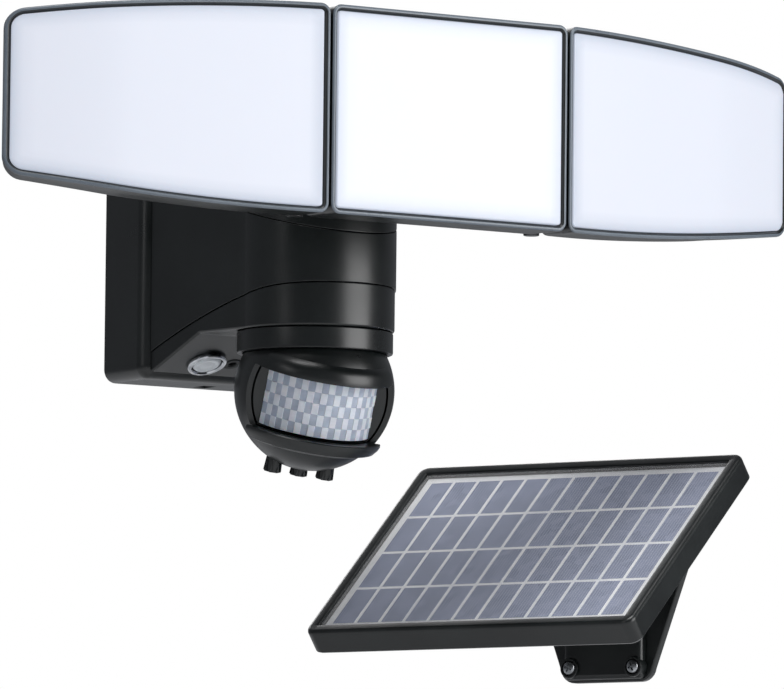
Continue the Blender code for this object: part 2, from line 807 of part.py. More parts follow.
def build_head():
    """Head arm, three panels, their hinges and the tilt bolt."""
    axis_y, axis_z = TILT_AXIS.y, TILT_AXIS.z
    cover_slope = (COVER_BACK_Z - COVER_FRONT_Z) / (ARM_ROOT_Y - ARM_FRONT_Y)

    def cover_top(y):
        return COVER_FRONT_Z + cover_slope * (y - ARM_FRONT_Y)

    lift = 2 * GAP
    outline = [
        (-0.106, cover_top(-0.106) + lift),
        (-0.1355, cover_top(-0.1355) + lift),
        (-0.146, 0.0290),
        (axis_y + 0.002, axis_z - KNUCKLE_RADIUS + 0.0003),
        (axis_y + 0.002, axis_z + KNUCKLE_RADIUS - 0.0003),
        (-0.150, 0.0530),
        (-0.118, 0.0420),
        (-0.108, 0.0360),
    ]
    arm = prism("head_arm", outline, -0.014, 0.014, plane="YZ")
    join(arm, rod("arm_nose", (-0.014, axis_y, axis_z), (0.014, axis_y, axis_z), KNUCKLE_RADIUS, 28))
    cut(arm, rod("arm_bore", (-0.02, axis_y, axis_z), (0.02, axis_y, axis_z), 0.0033, 20))
    link(arm, BLACK)

    tilt = empty("head_tilt_axis", TILT_AXIS)
    edge = SEAM_X - SEAM_HALF_GAP
    centre = Panel(-edge, edge, INNER_CORNER, INNER_CORNER, 0.0, False)
    housing = build_panel("centre", centre, tilt)
    back_y = HEAD_FRONT_Y + HEAD_DEPTH
    for sign in (-1, 1):
        x0, x1 = sorted((sign * 0.0143, sign * 0.0190))
        join(
            housing,
            box("ear", (x0, back_y - 0.001, axis_z - KNUCKLE_RADIUS), (x1, axis_y, axis_z + KNUCKLE_RADIUS)),
            rod("ear_nose", (x0, axis_y, axis_z), (x1, axis_y, axis_z), KNUCKLE_RADIUS, 28),
        )
        build_lug(housing, sign, True, ((0.012, 0.020), (0.073, 0.081)))
    cut(housing, rod("ear_bore", (-0.03, axis_y, axis_z), (0.03, axis_y, axis_z), 0.0033, 20))
    for sign in (-1, 1):
        cut(housing, pin_bore(sign))

    bolt = rod("tilt_bolt", (-0.0195, axis_y, axis_z), (0.0195, axis_y, axis_z), 0.0030, 20)
    for sign in (-1, 1):
        x0, x1 = sign * 0.0193, sign * 0.0228
        join(bolt, rod("bolt_end", (x0, axis_y, axis_z), (x1, axis_y, axis_z), 0.0058, 6))
    link(bolt, STEEL, tilt, True)

    for side, sign in (("left", -1), ("right", 1)):
        fold = empty(f"{side}_fold_axis", Vector((sign * SEAM_X, FOLD_AXIS_Y, axis_z)))
        start = SEAM_X + SEAM_HALF_GAP
        wing = Panel(start, start + SIDE_LENGTH, INNER_CORNER, OUTER_CORNER, SIDE_TAPER, True, sign < 0)
        side_housing = build_panel(side, wing, fold)
        build_lug(side_housing, sign, False, ((0.0203, 0.028), (0.065, 0.0727)))
        cut(side_housing, pin_bore(sign))
        x = sign * SEAM_X
        pin = rod(f"{side}_hinge_pin", (x, FOLD_AXIS_Y, 0.0115), (x, FOLD_AXIS_Y, 0.0815), 0.0015, 16)
        link(pin, STEEL, tilt, True)


# Solar panel ------------------------------------------------------------------------------------
def build_solar():
    """Solar panel on its own wall bracket."""
    turn = Matrix.Rotation(SOLAR_TURN, 3, "Z")
    mount = empty("solar_bracket_frame", SOLAR_CENTRE, turn)
    lean = turn @ Matrix.Rotation(SOLAR_TILT, 3, "X")
    axis_at = SOLAR_CENTRE + turn @ Vector((0.0, SOLAR_AXIS_BACK, SOLAR_AXIS_Z))
    frame = empty("solar_tilt_axis", axis_at, lean)
    # the middle of the panel's top face, in the tilt axis's own frame
    local = lean.transposed() @ (SOLAR_CENTRE - axis_at)
    face_y, face_z = local.y, local.z

    half_l, half_w = SOLAR_HALF_LENGTH, SOLAR_HALF_WIDTH
    rim = box(
        "solar_frame",
        (-half_l, face_y - half_w, face_z - SOLAR_DEPTH),
        (half_l, face_y + half_w, face_z),
        0.0022,
        2,
    )
    open_l, open_w = half_l - SOLAR_RIM, half_w - SOLAR_RIM
    opening = box(
        "frame_opening",
        (-open_l, face_y - open_w, face_z - 0.03),
        (open_l, face_y + open_w, face_z + 0.01),
    )
    cut(rim, opening, parent=frame)
    link(rim, BLACK, frame)
    in_l, in_w = open_l - GAP, open_w - GAP
    low_y, high_y = face_y - in_w, face_y + in_w
    glass = box("solar_glass", (-in_l, low_y, face_z - 0.0026), (in_l, high_y, face_z - 0.0010))
    link(glass, GLASS, frame)
    sheet = box("cell_sheet", (-in_l, low_y, face_z - 0.0041), (in_l, high_y, face_z - 0.0029))
    link(sheet, SOLAR, frame)
    back_z = face_z - SOLAR_DEPTH
    back = box("solar_back", (-in_l, low_y, back_z + GAP), (in_l, high_y, back_z + 0.0025))
    knuckle = 0.0124
    join(
        back,
        box("knuckle_web", (-knuckle, -SOLAR_NOSE, 0.0), (knuckle, SOLAR_NOSE, back_z + 0.001)),
        rod("knuckle_nose", (-knuckle, 0, 0), (knuckle, 0, 0), SOLAR_NOSE, 28),
        parent=frame,
    )
    cut(back, rod("knuckle_bore", (-0.03, 0, 0), (0.03, 0, 0), 0.0028, 20), parent=frame)
    link(back, BLACK, frame)
    case_low, case_high = (0.036, face_y - 0.012, back_z - 0.010), (0.068, face_y + 0.018, back_z)
    jbox = box("junction_box", case_low, case_high, 0.0015)
    link(jbox, BLACK, frame)
    gland_x, gland_z = 0.052, back_z - 0.0052
    gland_start, gland_end = face_y - 0.0123, face_y - 0.0200
    gland_low, gland_high = (gland_x, gland_start, gland_z), (gland_x, gland_end, gland_z)
    gland = rod("cable_gland", gland_low, gland_high, 0.0042, 20, 0.0034)
    link(gland, BLACK, frame)

    half_low, flare = 0.0240, 0.348
    rise = BRACKET_TOP_Z - BRACKET_BOTTOM_Z
    half_top = half_low + flare * rise
    corner = 0.005
    outline = [
        (-half_low + corner, BRACKET_BOTTOM_Z),
        (half_low - corner, BRACKET_BOTTOM_Z),
        (half_low - 0.0012, BRACKET_BOTTOM_Z + 0.0016),
        (half_low + 0.0014, BRACKET_BOTTOM_Z + corner),
        (half_top, BRACKET_TOP_Z - 0.002),
        (half_top - 0.002, BRACKET_TOP_Z),
        (-half_top + 0.002, BRACKET_TOP_Z),
        (-half_top, BRACKET_TOP_Z - 0.002),
        (-half_low - 0.0014, BRACKET_BOTTOM_Z + corner),
        (-half_low + 0.0012, BRACKET_BOTTOM_Z + 0.0016),
    ]
    front = BRACKET_WALL - BRACKET_FLANGE
    bracket = prism("wall_bracket", outline, front, BRACKET_WALL, plane="XZ")
    channel_half, channel_rise, channel_trim = 0.0214, 0.004, 0.0012
    channel = box(
        "channel",
        (-channel_half, front - channel_rise, BRACKET_BOTTOM_Z + channel_trim),
        (channel_half, front + 0.001, BRACKET_TOP_Z - channel_trim),
    )
    join(bracket, channel, parent=mount)
    axis_y, axis_z = SOLAR_AXIS_BACK, SOLAR_AXIS_Z
    for sign in (-1, 1):
        x0, x1 = sorted((sign * (knuckle + GAP), sign * 0.0170))
        boss_x = sign * SCREW_X
        join(
            bracket,
            rod("boss", (boss_x, front + 0.001, SCREW_Z), (boss_x, front - 0.0052, SCREW_Z), 0.0048, 28),
            box("ear", (x0, axis_y, axis_z - SOLAR_NOSE), (x1, front + 0.001, axis_z + SOLAR_NOSE)),
            rod("ear_nose", (x0, axis_y, axis_z), (x1, axis_y, axis_z), SOLAR_NOSE, 28),
            parent=mount,
        )
    cut(bracket, rod("ear_bore", (-0.03, axis_y, axis_z), (0.03, axis_y, axis_z), 0.0028, 20), parent=mount)
    for side, sign in (("left", -1), ("right", 1)):
        x = sign * SCREW_X
        bore = rod("screw_bore", (x, front - 0.01, SCREW_Z), (x, BRACKET_WALL + 0.01, SCREW_Z), 0.0022, 16)
        cut(bracket, bore, parent=mount)
        head_low, head_high = (x, front - 0.0055, SCREW_Z), (x, front - 0.0071, SCREW_Z)
        screw = rod(f"bracket_screw_{side}", head_low, head_high, 0.0032, 20)
        shank = rod("shank", (x, front - 0.006, SCREW_Z), (x, BRACKET_WALL, SCREW_Z), 0.0019, 16)
        join(screw, shank, parent=mount)
        link(screw, STEEL, mount)
    link(bracket, BLACK, mount)

    bolt = rod("solar_bolt", (-0.0175, axis_y, axis_z), (0.0175, axis_y, axis_z), 0.0025, 20)
    for sign in (-1, 1):
        end = rod("bolt_end", (sign * 0.0173, axis_y, axis_z), (sign * 0.0205, axis_y, axis_z), 0.0045, 20)
        join(bolt, end, parent=mount)
    link(bolt, STEEL, mount)


build_wall_box()
lower_housing = build_arm()
build_contents()
build_button(lower_housing)
build_collar()
build_ball()
build_head()
build_solar()
bpy.context.view_layer.update()
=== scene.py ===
"""Looks of the solar flood light: fine shells, lenses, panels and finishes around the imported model."""

import json
import logging
import math
from contextlib import contextmanager
from dataclasses import dataclass, field
from enum import Enum
from typing import Any, Callable, Iterator, Sequence

import bmesh
import bpy
from mathutils import Matrix, Vector


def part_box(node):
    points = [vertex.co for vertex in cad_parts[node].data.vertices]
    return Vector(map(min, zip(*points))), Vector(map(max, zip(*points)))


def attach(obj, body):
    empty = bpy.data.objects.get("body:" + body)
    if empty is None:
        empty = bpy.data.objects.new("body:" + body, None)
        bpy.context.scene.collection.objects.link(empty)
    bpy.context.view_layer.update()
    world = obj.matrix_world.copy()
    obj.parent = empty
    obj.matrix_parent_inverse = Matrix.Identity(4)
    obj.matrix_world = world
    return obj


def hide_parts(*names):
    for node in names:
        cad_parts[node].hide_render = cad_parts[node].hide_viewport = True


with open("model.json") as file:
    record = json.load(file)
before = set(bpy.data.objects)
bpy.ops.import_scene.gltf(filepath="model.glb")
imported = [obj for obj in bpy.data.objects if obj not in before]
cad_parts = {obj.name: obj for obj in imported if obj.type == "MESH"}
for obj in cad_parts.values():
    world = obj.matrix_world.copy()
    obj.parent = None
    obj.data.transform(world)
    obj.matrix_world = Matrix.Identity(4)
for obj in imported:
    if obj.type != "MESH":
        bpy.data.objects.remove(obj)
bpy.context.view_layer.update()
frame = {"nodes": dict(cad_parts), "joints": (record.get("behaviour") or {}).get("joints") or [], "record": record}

log = logging.getLogger("flood_light")

MM = 0.001
GAP = 0.3 * MM
WELD = 0.01 * MM
QUARTER = math.pi / 2
ANGLES_UP = [QUARTER * i / 6 for i in range(7)]
# First ring of the rim's front band, which takes the grey painted highlight.
HIGHLIGHT_FIRST_BAND = 3
FAR = 50.0 * MM
Point = tuple[float, float, float]
Test = Callable[[Vector, Vector], bool]


# Finishes -----------------------------------------------------------------------------------------
def linear(code: str) -> tuple[float, float, float, float]:
    """Turns an sRGB hex colour into the linear colour that a shader takes.

    Args:
        code: Six hex digits after a hash sign.

    Returns:
        Red, green, blue and an alpha of one.
    """
    knee, slope, offset, power = 0.04045, 12.92, 0.055, 2.4
    shares = [int(code[i : i + 2], 16) / 255 for i in (1, 3, 5)]
    red, green, blue = (s / slope if s <= knee else ((s + offset) / (1 + offset)) ** power for s in shares)
    return (red, green, blue, 1.0)


def add(
    tree: bpy.types.NodeTree, kind: str, inputs: dict[Any, Any] | None = None, **settings: Any
) -> bpy.types.Node:
    """Adds a node with its settings and its links.

    Args:
        tree: The material's node tree.
        kind: The node's type name.
        inputs: Socket name or number to a value, or to another node's output socket.
        settings: Attributes of the node itself.

    Returns:
        The new node.
    """
    made = tree.nodes.new(kind)
    for name, value in settings.items():
        setattr(made, name, value)
    for name, value in (inputs or {}).items():
        if isinstance(value, bpy.types.NodeSocket):
            tree.links.new(value, made.inputs[name])
        else:
            made.inputs[name].default_value = value
    return made


def per_metre(size_mm: float) -> float:
    """Texture scale that repeats about once in a real size in millimetres."""
    return 1.0 / (size_mm * MM)


@dataclass(frozen=True)
class Finish:
    """What every finish has: its name, its main colour and how it takes the light."""

    name: str
    colour: str
    roughness: float
    metallic: float = 0.0
    ior: float = 1.5

    def start(self) -> tuple[bpy.types.Material, bpy.types.NodeTree, bpy.types.Node]:
        """Makes the material with its constants on the shader.

        Returns:
            The material, its node tree and its shader.
        """
        made = bpy.data.materials.new(self.name)
        made.use_nodes = True
        made.diffuse_color = linear(self.colour)
        tree = made.node_tree
        shader = tree.nodes["Principled BSDF"]
        shader.inputs["Base Color"].default_value = linear(self.colour)
        shader.inputs["Roughness"].default_value = self.roughness
        shader.inputs["Metallic"].default_value = self.metallic
        if self.metallic < 1.0:
            shader.inputs["IOR"].default_value = self.ior
        return made, tree, shader


@dataclass(frozen=True)
class MouldedPlastic(Finish):
    """Injection-moulded ABS: a fine texture from the mould, with faint flow marks and handling shine."""

    bloom: str = "#2c3433"
    grain_mm: float = 0.55
    relief_mm: float = 0.012
    marks_mm: float = 34.0
    shine_change: float = 0.10

    def build(self) -> bpy.types.Material:
        """Builds the plastic: broad tone changes, a fine grain in the bump and an uneven shine."""
        made, tree, shader = self.start()
        place = add(tree, "ShaderNodeTexCoord").outputs["Object"]
        marks = add(
            tree,
            "ShaderNodeTexNoise",
            {"Vector": place, "Scale": per_metre(self.marks_mm), "Detail": 3.0, "Roughness": 0.55},
        )
        tone = add(
            tree,
            "ShaderNodeMapRange",
            {"Value": marks.outputs["Fac"], "From Min": 0.35, "From Max": 0.75},
        )
        colour = add(
            tree,
            "ShaderNodeMixRGB",
            {"Fac": tone.outputs["Result"], "Color1": linear(self.colour), "Color2": linear(self.bloom)},
        )
        shine = add(
            tree,
            "ShaderNodeMapRange",
            {
                "Value": marks.outputs["Fac"],
                "From Min": 0.3,
                "From Max": 0.7,
                "To Min": self.roughness - self.shine_change / 2,
                "To Max": self.roughness + self.shine_change / 2,
            },
        )
        grain = add(
            tree,
            "ShaderNodeTexNoise",
            {"Vector": place, "Scale": per_metre(self.grain_mm), "Detail": 2.0, "Roughness": 0.6},
        )
        relief = add(
            tree,
            "ShaderNodeBump",
            {"Height": grain.outputs["Fac"], "Strength": 0.5, "Distance": self.relief_mm * MM},
        )
        tree.links.new(colour.outputs["Color"], shader.inputs["Base Color"])
        tree.links.new(shine.outputs["Result"], shader.inputs["Roughness"])
        tree.links.new(relief.outputs["Normal"], shader.inputs["Normal"])
        return made


@dataclass(frozen=True)
class OpalAcrylic(Finish):
    """Opal PMMA sheet: milky white, glossy, with painted light in its emission and painted shade greying its rim.
    """

    # edge: colour of the painted shade at the sheet's rim; the strength below is the painted light of the
    # emission.
    edge: str = "#c3ccdc"
    painted_glow: float = 0.64
    body: str = "#7c8088"

    def build(self) -> bpy.types.Material:
        """Builds the opal sheet with painted light; its 'lit' attribute runs from 0 at the rim, painted shade, to
        1 inside.
        """
        made, tree, shader = self.start()
        lit = add(tree, "ShaderNodeAttribute", attribute_name="lit").outputs["Fac"]
        place = add(tree, "ShaderNodeTexCoord").outputs["Object"]
        cloud = add(tree, "ShaderNodeTexNoise", {"Vector": place, "Scale": per_metre(60.0), "Detail": 2.0})
        uneven = add(
            tree,
            "ShaderNodeMath",
            {0: cloud.outputs["Fac"], 1: 0.10, 2: -0.05},
            operation="MULTIPLY_ADD",
        )
        share = add(tree, "ShaderNodeMath", {0: lit, 1: uneven.outputs[0]}, operation="ADD", use_clamp=True)
        colour = add(
            tree,
            "ShaderNodeMixRGB",
            {"Fac": share.outputs[0], "Color1": linear(self.edge), "Color2": linear(self.colour)},
        )
        shader.inputs["Base Color"].default_value = linear(self.body)
        # Painted light: the emission stands in for the light on the sheet, and greys near the rim as painted
        # shade.
        tree.links.new(colour.outputs["Color"], shader.inputs["Emission Color"])
        shader.inputs["Emission Strength"].default_value = self.painted_glow
        shader.inputs["Subsurface Weight"].default_value = 0.2
        shader.inputs["Subsurface Scale"].default_value = 2.0 * MM
        return made


@dataclass(frozen=True)
class TurnedMetal(Finish):
    """Plated or bare metal from a lathe or press: fine tool lines and slightly uneven plating."""

    dull: str = "#6d7072"
    line_mm: float = 0.25
    relief_mm: float = 0.006
    patch_mm: float = 4.0

    def build(self) -> bpy.types.Material:
        """Builds the metal with patchy plating in colour and shine, and fine lines in the bump."""
        made, tree, shader = self.start()
        place = add(tree, "ShaderNodeTexCoord").outputs["Object"]
        patch = add(
            tree, "ShaderNodeTexNoise", {"Vector": place, "Scale": per_metre(self.patch_mm), "Detail": 4.0}
        )
        share = add(
            tree, "ShaderNodeMapRange", {"Value": patch.outputs["Fac"], "From Min": 0.3, "From Max": 0.7}
        )
        colour = add(
            tree,
            "ShaderNodeMixRGB",
            {"Fac": share.outputs["Result"], "Color1": linear(self.dull), "Color2": linear(self.colour)},
        )
        shine = add(
            tree,
            "ShaderNodeMapRange",
            {
                "Value": patch.outputs["Fac"],
                "To Min": self.roughness + 0.1,
                "To Max": max(0.02, self.roughness - 0.1),
            },
        )
        lines = add(
            tree,
            "ShaderNodeTexNoise",
            {"Vector": place, "Scale": per_metre(self.line_mm), "Detail": 1.0},
        )
        relief = add(
            tree,
            "ShaderNodeBump",
            {"Height": lines.outputs["Fac"], "Strength": 0.4, "Distance": self.relief_mm * MM},
        )
        tree.links.new(colour.outputs["Color"], shader.inputs["Base Color"])
        tree.links.new(shine.outputs["Result"], shader.inputs["Roughness"])
        tree.links.new(relief.outputs["Normal"], shader.inputs["Normal"])
        return made


@dataclass(frozen=True)
class PrintedBoard(Finish):
    """Glass-fibre board under solder mask: copper tracks show as a lighter net, with tinned pads."""

    track: str = "#2f7a3e"
    pad: str = "#b9bcb8"
    pad_mm: float = 5.5

    def build(self) -> bpy.types.Material:
        """Builds the mask with tracks from a cell pattern and round pads between them."""
        made, tree, shader = self.start()
        place = add(tree, "ShaderNodeTexCoord").outputs["Object"]
        cells = add(
            tree,
            "ShaderNodeTexVoronoi",
            {"Vector": place, "Scale": per_metre(self.pad_mm), "Randomness": 0.35},
            distance="CHEBYCHEV",
        )
        tracks = add(
            tree,
            "ShaderNodeTexVoronoi",
            {"Vector": place, "Scale": per_metre(self.pad_mm), "Randomness": 0.6},
            feature="DISTANCE_TO_EDGE",
        )
        on_track = add(
            tree, "ShaderNodeMath", {0: tracks.outputs["Distance"], 1: 0.06}, operation="LESS_THAN"
        )
        on_pad = add(tree, "ShaderNodeMath", {0: cells.outputs["Distance"], 1: 0.16}, operation="LESS_THAN")
        masked = add(
            tree,
            "ShaderNodeMixRGB",
            {"Fac": on_track.outputs[0], "Color1": linear(self.colour), "Color2": linear(self.track)},
        )
        colour = add(
            tree,
            "ShaderNodeMixRGB",
            {"Fac": on_pad.outputs[0], "Color1": masked.outputs["Color"], "Color2": linear(self.pad)},
        )
        tree.links.new(colour.outputs["Color"], shader.inputs["Base Color"])
        tree.links.new(on_pad.outputs[0], shader.inputs["Metallic"])
        return made


@dataclass(frozen=True)
class SiliconCell(Finish):
    """Polycrystalline silicon: blue-grey crystal flakes under silver fingers printed across the cell."""

    flake: str = "#828dae"
    finger: str = "#9aa3bc"
    finger_pitch_mm: float = 1.5
    finger_share: float = 0.24
    flake_mm: float = 4.5

    def build(self, to_panel: Matrix) -> bpy.types.Material:
        """Builds the cell.

        Args:
            to_panel: World to panel turn and shift; fingers run along the panel's own Y.

        Returns:
            The material.
        """
        made, tree, shader = self.start()
        place = add(tree, "ShaderNodeTexCoord").outputs["Object"]
        on_panel = add(
            tree,
            "ShaderNodeMapping",
            {"Vector": place, "Location": to_panel.translation, "Rotation": to_panel.to_euler()},
        )
        flakes = add(
            tree, "ShaderNodeTexVoronoi", {"Vector": on_panel.outputs[0], "Scale": per_metre(self.flake_mm)}
        )
        grey = add(tree, "ShaderNodeRGBToBW", {"Color": flakes.outputs["Color"]})
        crystal = add(
            tree,
            "ShaderNodeMixRGB",
            {"Fac": grey.outputs[0], "Color1": linear(self.colour), "Color2": linear(self.flake)},
        )
        split = add(tree, "ShaderNodeSeparateXYZ", {0: on_panel.outputs[0]})
        pitch = self.finger_pitch_mm * MM
        phase = add(tree, "ShaderNodeMath", {0: split.outputs["X"], 1: pitch}, operation="DIVIDE")
        part = add(tree, "ShaderNodeMath", {0: phase.outputs[0]}, operation="FRACT")
        on_finger = add(
            tree, "ShaderNodeMath", {0: part.outputs[0], 1: self.finger_share}, operation="LESS_THAN"
        )
        colour = add(
            tree,
            "ShaderNodeMixRGB",
            {"Fac": on_finger.outputs[0], "Color1": crystal.outputs["Color"], "Color2": linear(self.finger)},
        )
        tree.links.new(colour.outputs["Color"], shader.inputs["Base Color"])
        return made


@dataclass(frozen=True)
class ClearGlass(Finish):
    """Low-iron tempered float glass: clear, smooth, with a faint hammered wave on top."""

    wave_mm: float = 9.0
    cover: float = 0.10

    def build(self) -> bpy.types.Material:
        """Builds the glass as a thin clear sheet, with a slight wave in its gloss."""
        made, tree, shader = self.start()
        shader.inputs["Alpha"].default_value = self.cover
        place = add(tree, "ShaderNodeTexCoord").outputs["Object"]
        wave = add(
            tree, "ShaderNodeTexNoise", {"Vector": place, "Scale": per_metre(self.wave_mm), "Detail": 1.0}
        )
        relief = add(
            tree,
            "ShaderNodeBump",
            {"Height": wave.outputs["Fac"], "Strength": 0.3, "Distance": 0.02 * MM},
        )
        tree.links.new(relief.outputs["Normal"], shader.inputs["Normal"])
        return made


@dataclass(frozen=True)
class SegmentLens(Finish):
    """Moulded polyethylene lens film: milky, waxy, with fine ring grooves in every segment."""

    tint: str = "#b9c0cc"
    groove_mm: float = 0.8

    def build(self) -> bpy.types.Material:
        """Builds the lens film with fine grooves and a cloudy tone."""
        made, tree, shader = self.start()
        place = add(tree, "ShaderNodeTexCoord").outputs["Object"]
        cloud = add(tree, "ShaderNodeTexNoise", {"Vector": place, "Scale": per_metre(5.0), "Detail": 2.0})
        colour = add(
            tree,
            "ShaderNodeMixRGB",
            {"Fac": cloud.outputs["Fac"], "Color1": linear(self.colour), "Color2": linear(self.tint)},
        )
        grooves = add(
            tree,
            "ShaderNodeTexWave",
            {"Vector": place, "Scale": per_metre(self.groove_mm) / math.tau, "Distortion": 0.6},
            bands_direction="Z",
        )
        relief = add(
            tree,
            "ShaderNodeBump",
            {"Height": grooves.outputs["Fac"], "Strength": 0.35, "Distance": 0.05 * MM},
        )
        tree.links.new(colour.outputs["Color"], shader.inputs["Base Color"])
        tree.links.new(relief.outputs["Normal"], shader.inputs["Normal"])
        shader.inputs["Subsurface Weight"].default_value = 0.25
        shader.inputs["Subsurface Scale"].default_value = 1.0 * MM
        return made


BLACK_ABS = MouldedPlastic("black_moulded_abs", "#0a0e0e", 0.32, ior=1.52, bloom="#111616")
# Grey of the rim's front band: a painted highlight on the rim's black plastic.
RIM_PAINTED_HIGHLIGHT = MouldedPlastic("grey_satin_abs", "#59616a", 0.30, ior=1.54, bloom="#646d76", relief_mm=0.006)
PLUG_RUBBER = MouldedPlastic("black_plug_rubber", "#0e1112", 0.62, ior=1.52, bloom="#171b1c")
# Opal sheet: its emission is painted light, and its greyer rim is painted shade.
OPAL = OpalAcrylic("opal_acrylic_sheet", "#f1f4ff", 0.24, ior=1.49)
ZINC_STEEL = TurnedMetal("zinc_plated_steel", "#b4b7ba", 0.34, 1.0)
CHROME = TurnedMetal("bright_plated_brass", "#d5d7da", 0.16, 1.0, dull="#9c9fa3", relief_mm=0.003)
BUTTON_RUBBER = MouldedPlastic("pale_silicone_button", "#c9ced2", 0.40, ior=1.41, bloom="#dfe3e6")
BOARD_GREEN = PrintedBoard("green_solder_mask", "#12401f", 0.42)
BOARD_WHITE = PrintedBoard("white_lamp_board", "#dedfda", 0.45, track="#cfd0ca", pad="#e8c95a")
SLEEVE = MouldedPlastic("blue_shrink_sleeve", "#2a5fa8", 0.30, ior=1.53, bloom="#3a70b8", grain_mm=1.2)
BACK_SHEET = MouldedPlastic("white_back_sheet", "#eef0f4", 0.45, ior=1.46, bloom="#ffffff")
CELL_BLUE = SiliconCell("polycrystal_silicon", "#586689", 0.30)
GLASS = ClearGlass("tempered_float_glass", "#ffffff", 0.03, ior=1.52)
LENS_PALE = SegmentLens("milky_lens_film", "#e6eaef", 0.32, ior=1.51)
# Grey copy of the lens film on every other segment: painted shade.
LENS_PAINTED_SHADE = SegmentLens("grey_lens_film", "#bac4d4", 0.38, ior=1.51, tint="#868e9f", groove_mm=0.5)


# Bench ----------------------------------------------------------------------------------------------
class Element(Enum):
    """What a test picks in edit mode."""

    VERT = "verts"
    EDGE = "edges"
    FACE = "faces"


def take(piece: bpy.types.Object) -> bpy.types.Object:
    """Makes one piece the only selected and the active one."""
    bpy.ops.object.select_all(action="DESELECT")
    piece.select_set(True)
    bpy.context.view_layer.objects.active = piece
    return piece


@contextmanager
def editing(piece: bpy.types.Object) -> Iterator[None]:
    """Opens a piece in edit mode with nothing selected, and closes it afterwards.

    Args:
        piece: The piece to edit.
    """
    take(piece)
    bpy.ops.object.mode_set(mode="EDIT")
    bpy.ops.mesh.select_all(action="DESELECT")
    yield
    bpy.ops.object.mode_set(mode="OBJECT")


def pick(piece: bpy.types.Object, kind: Element, test: Test) -> int:
    """Selects the elements of a piece in edit mode that pass a test, and no others.

    Args:
        piece: The piece that is being edited.
        kind: Vertices, edges or faces.
        test: Takes an element's middle and its normal, or its direction for an edge.

    Returns:
        How many elements were selected.
    """
    bpy.ops.mesh.select_mode(type=kind.name)
    bpy.ops.mesh.select_all(action="DESELECT")
    mesh = bmesh.from_edit_mesh(piece.data)
    count = 0
    for element in getattr(mesh, kind.value):
        if kind is Element.VERT:
            chosen = test(element.co, element.normal)
        elif kind is Element.EDGE:
            first, last = (v.co for v in element.verts)
            chosen = test((first + last) / 2, (last - first).normalized())
        else:
            chosen = test(element.calc_center_median(), element.normal)
        if chosen:
            element.select_set(True)
            count += 1
    bmesh.update_edit_mesh(piece.data)
    return count


def pick_ridges(piece: bpy.types.Object, degrees: float, test: Test) -> None:
    """Selects the edges whose faces meet at more than an angle and whose place passes a test."""
    bpy.ops.mesh.select_mode(type="EDGE")
    bpy.ops.mesh.select_all(action="DESELECT")
    mesh = bmesh.from_edit_mesh(piece.data)
    for edge in mesh.edges:
        first, last = (v.co for v in edge.verts)
        sharp = len(edge.link_faces) == 2 and edge.calc_face_angle() > math.radians(degrees)
        if sharp and test((first + last) / 2, (last - first).normalized()):
            edge.select_set(True)
    bmesh.update_edit_mesh(piece.data)


def anywhere(_place: Vector, _way: Vector) -> bool:
    """A test that every element passes."""
    return True


def soften(
    piece: bpy.types.Object, radius: float, steps: int = 3, degrees: float = 40.0, test: Test = anywhere
) -> None:
    """Rounds a piece's ridges.

    Args:
        piece: The piece.
        radius: Width of the rounding.
        steps: Faces across the rounding.
        degrees: Only ridges sharper than this are rounded.
        test: Only ridges whose place passes are rounded.
    """
    with editing(piece):
        pick_ridges(piece, degrees, test)
        bpy.ops.mesh.bevel(offset=radius, segments=steps, affect="EDGES", clamp_overlap=True)


def named(name: str) -> bpy.types.Object:
    """Names the piece that was just added."""
    piece = bpy.context.object
    piece.name = name
    piece.data.name = name
    return piece


def block(name: str, low: Sequence[float], high: Sequence[float]) -> bpy.types.Object:
    """Adds a box between two corners, ready to be shaped."""
    low, high = Vector(low), Vector(high)
    bpy.ops.mesh.primitive_cube_add(size=1.0, location=(low + high) / 2, scale=high - low)
    bpy.ops.object.transform_apply(location=True, rotation=True, scale=True)
    return named(name)


def bar(
    name: str, start: Sequence[float], end: Sequence[float], radius: float, sides: int = 48
) -> bpy.types.Object:
    """Adds a round bar from one point to another, ready to be shaped."""
    start, end = Vector(start), Vector(end)
    turn = (end - start).to_track_quat("Z", "Y").to_euler()
    bpy.ops.mesh.primitive_cylinder_add(
        vertices=sides, radius=radius, depth=(end - start).length, location=(start + end) / 2, rotation=turn
    )
    bpy.ops.object.transform_apply(location=True, rotation=True, scale=True)
    return named(name)


def skin(
    name: str, rings: Sequence[Sequence[Point]], filled: bool = False, closed: bool = False
) -> bpy.types.Object:
    """Draws one ring of points and extrudes it through the others.

    Args:
        name: The piece's name.
        rings: Rings with the same number of points.
        filled: Whether the first and the last ring are faces, which gives a closed block.
        closed: Whether the last ring joins the first, which gives a hoop.

    Returns:
        The piece. Its whole-number attribute 'band' counts the rings.
    """
    fill = "NGON" if filled else "NOTHING"
    bpy.ops.mesh.primitive_circle_add(vertices=len(rings[0]), radius=1.0, fill_type=fill)
    piece = named(name)
    rows = list(rings) + ([rings[0]] if closed else [])
    with editing(piece):
        mesh = bmesh.from_edit_mesh(piece.data)
        order = mesh.verts.layers.int.new("order")
        band = mesh.verts.layers.int.new("band")
        mesh.verts.ensure_lookup_table()
        for number, vert in enumerate(mesh.verts):
            vert[order] = number
            vert.co = rows[0][number]
        bmesh.update_edit_mesh(piece.data)
        bpy.ops.mesh.select_all(action="SELECT")
        for level, row in enumerate(rows[1:], 1):
            bpy.ops.mesh.extrude_region_move()
            mesh = bmesh.from_edit_mesh(piece.data)
            order = mesh.verts.layers.int["order"]
            band = mesh.verts.layers.int["band"]
            for vert in mesh.verts:
                if vert.select:
                    vert[band] = level
                    vert.co = row[vert[order]]
            bmesh.update_edit_mesh(piece.data)
        bpy.ops.mesh.select_all(action="SELECT")
        bpy.ops.mesh.remove_doubles(threshold=WELD)
        bpy.ops.mesh.normals_make_consistent(inside=False)
    return piece


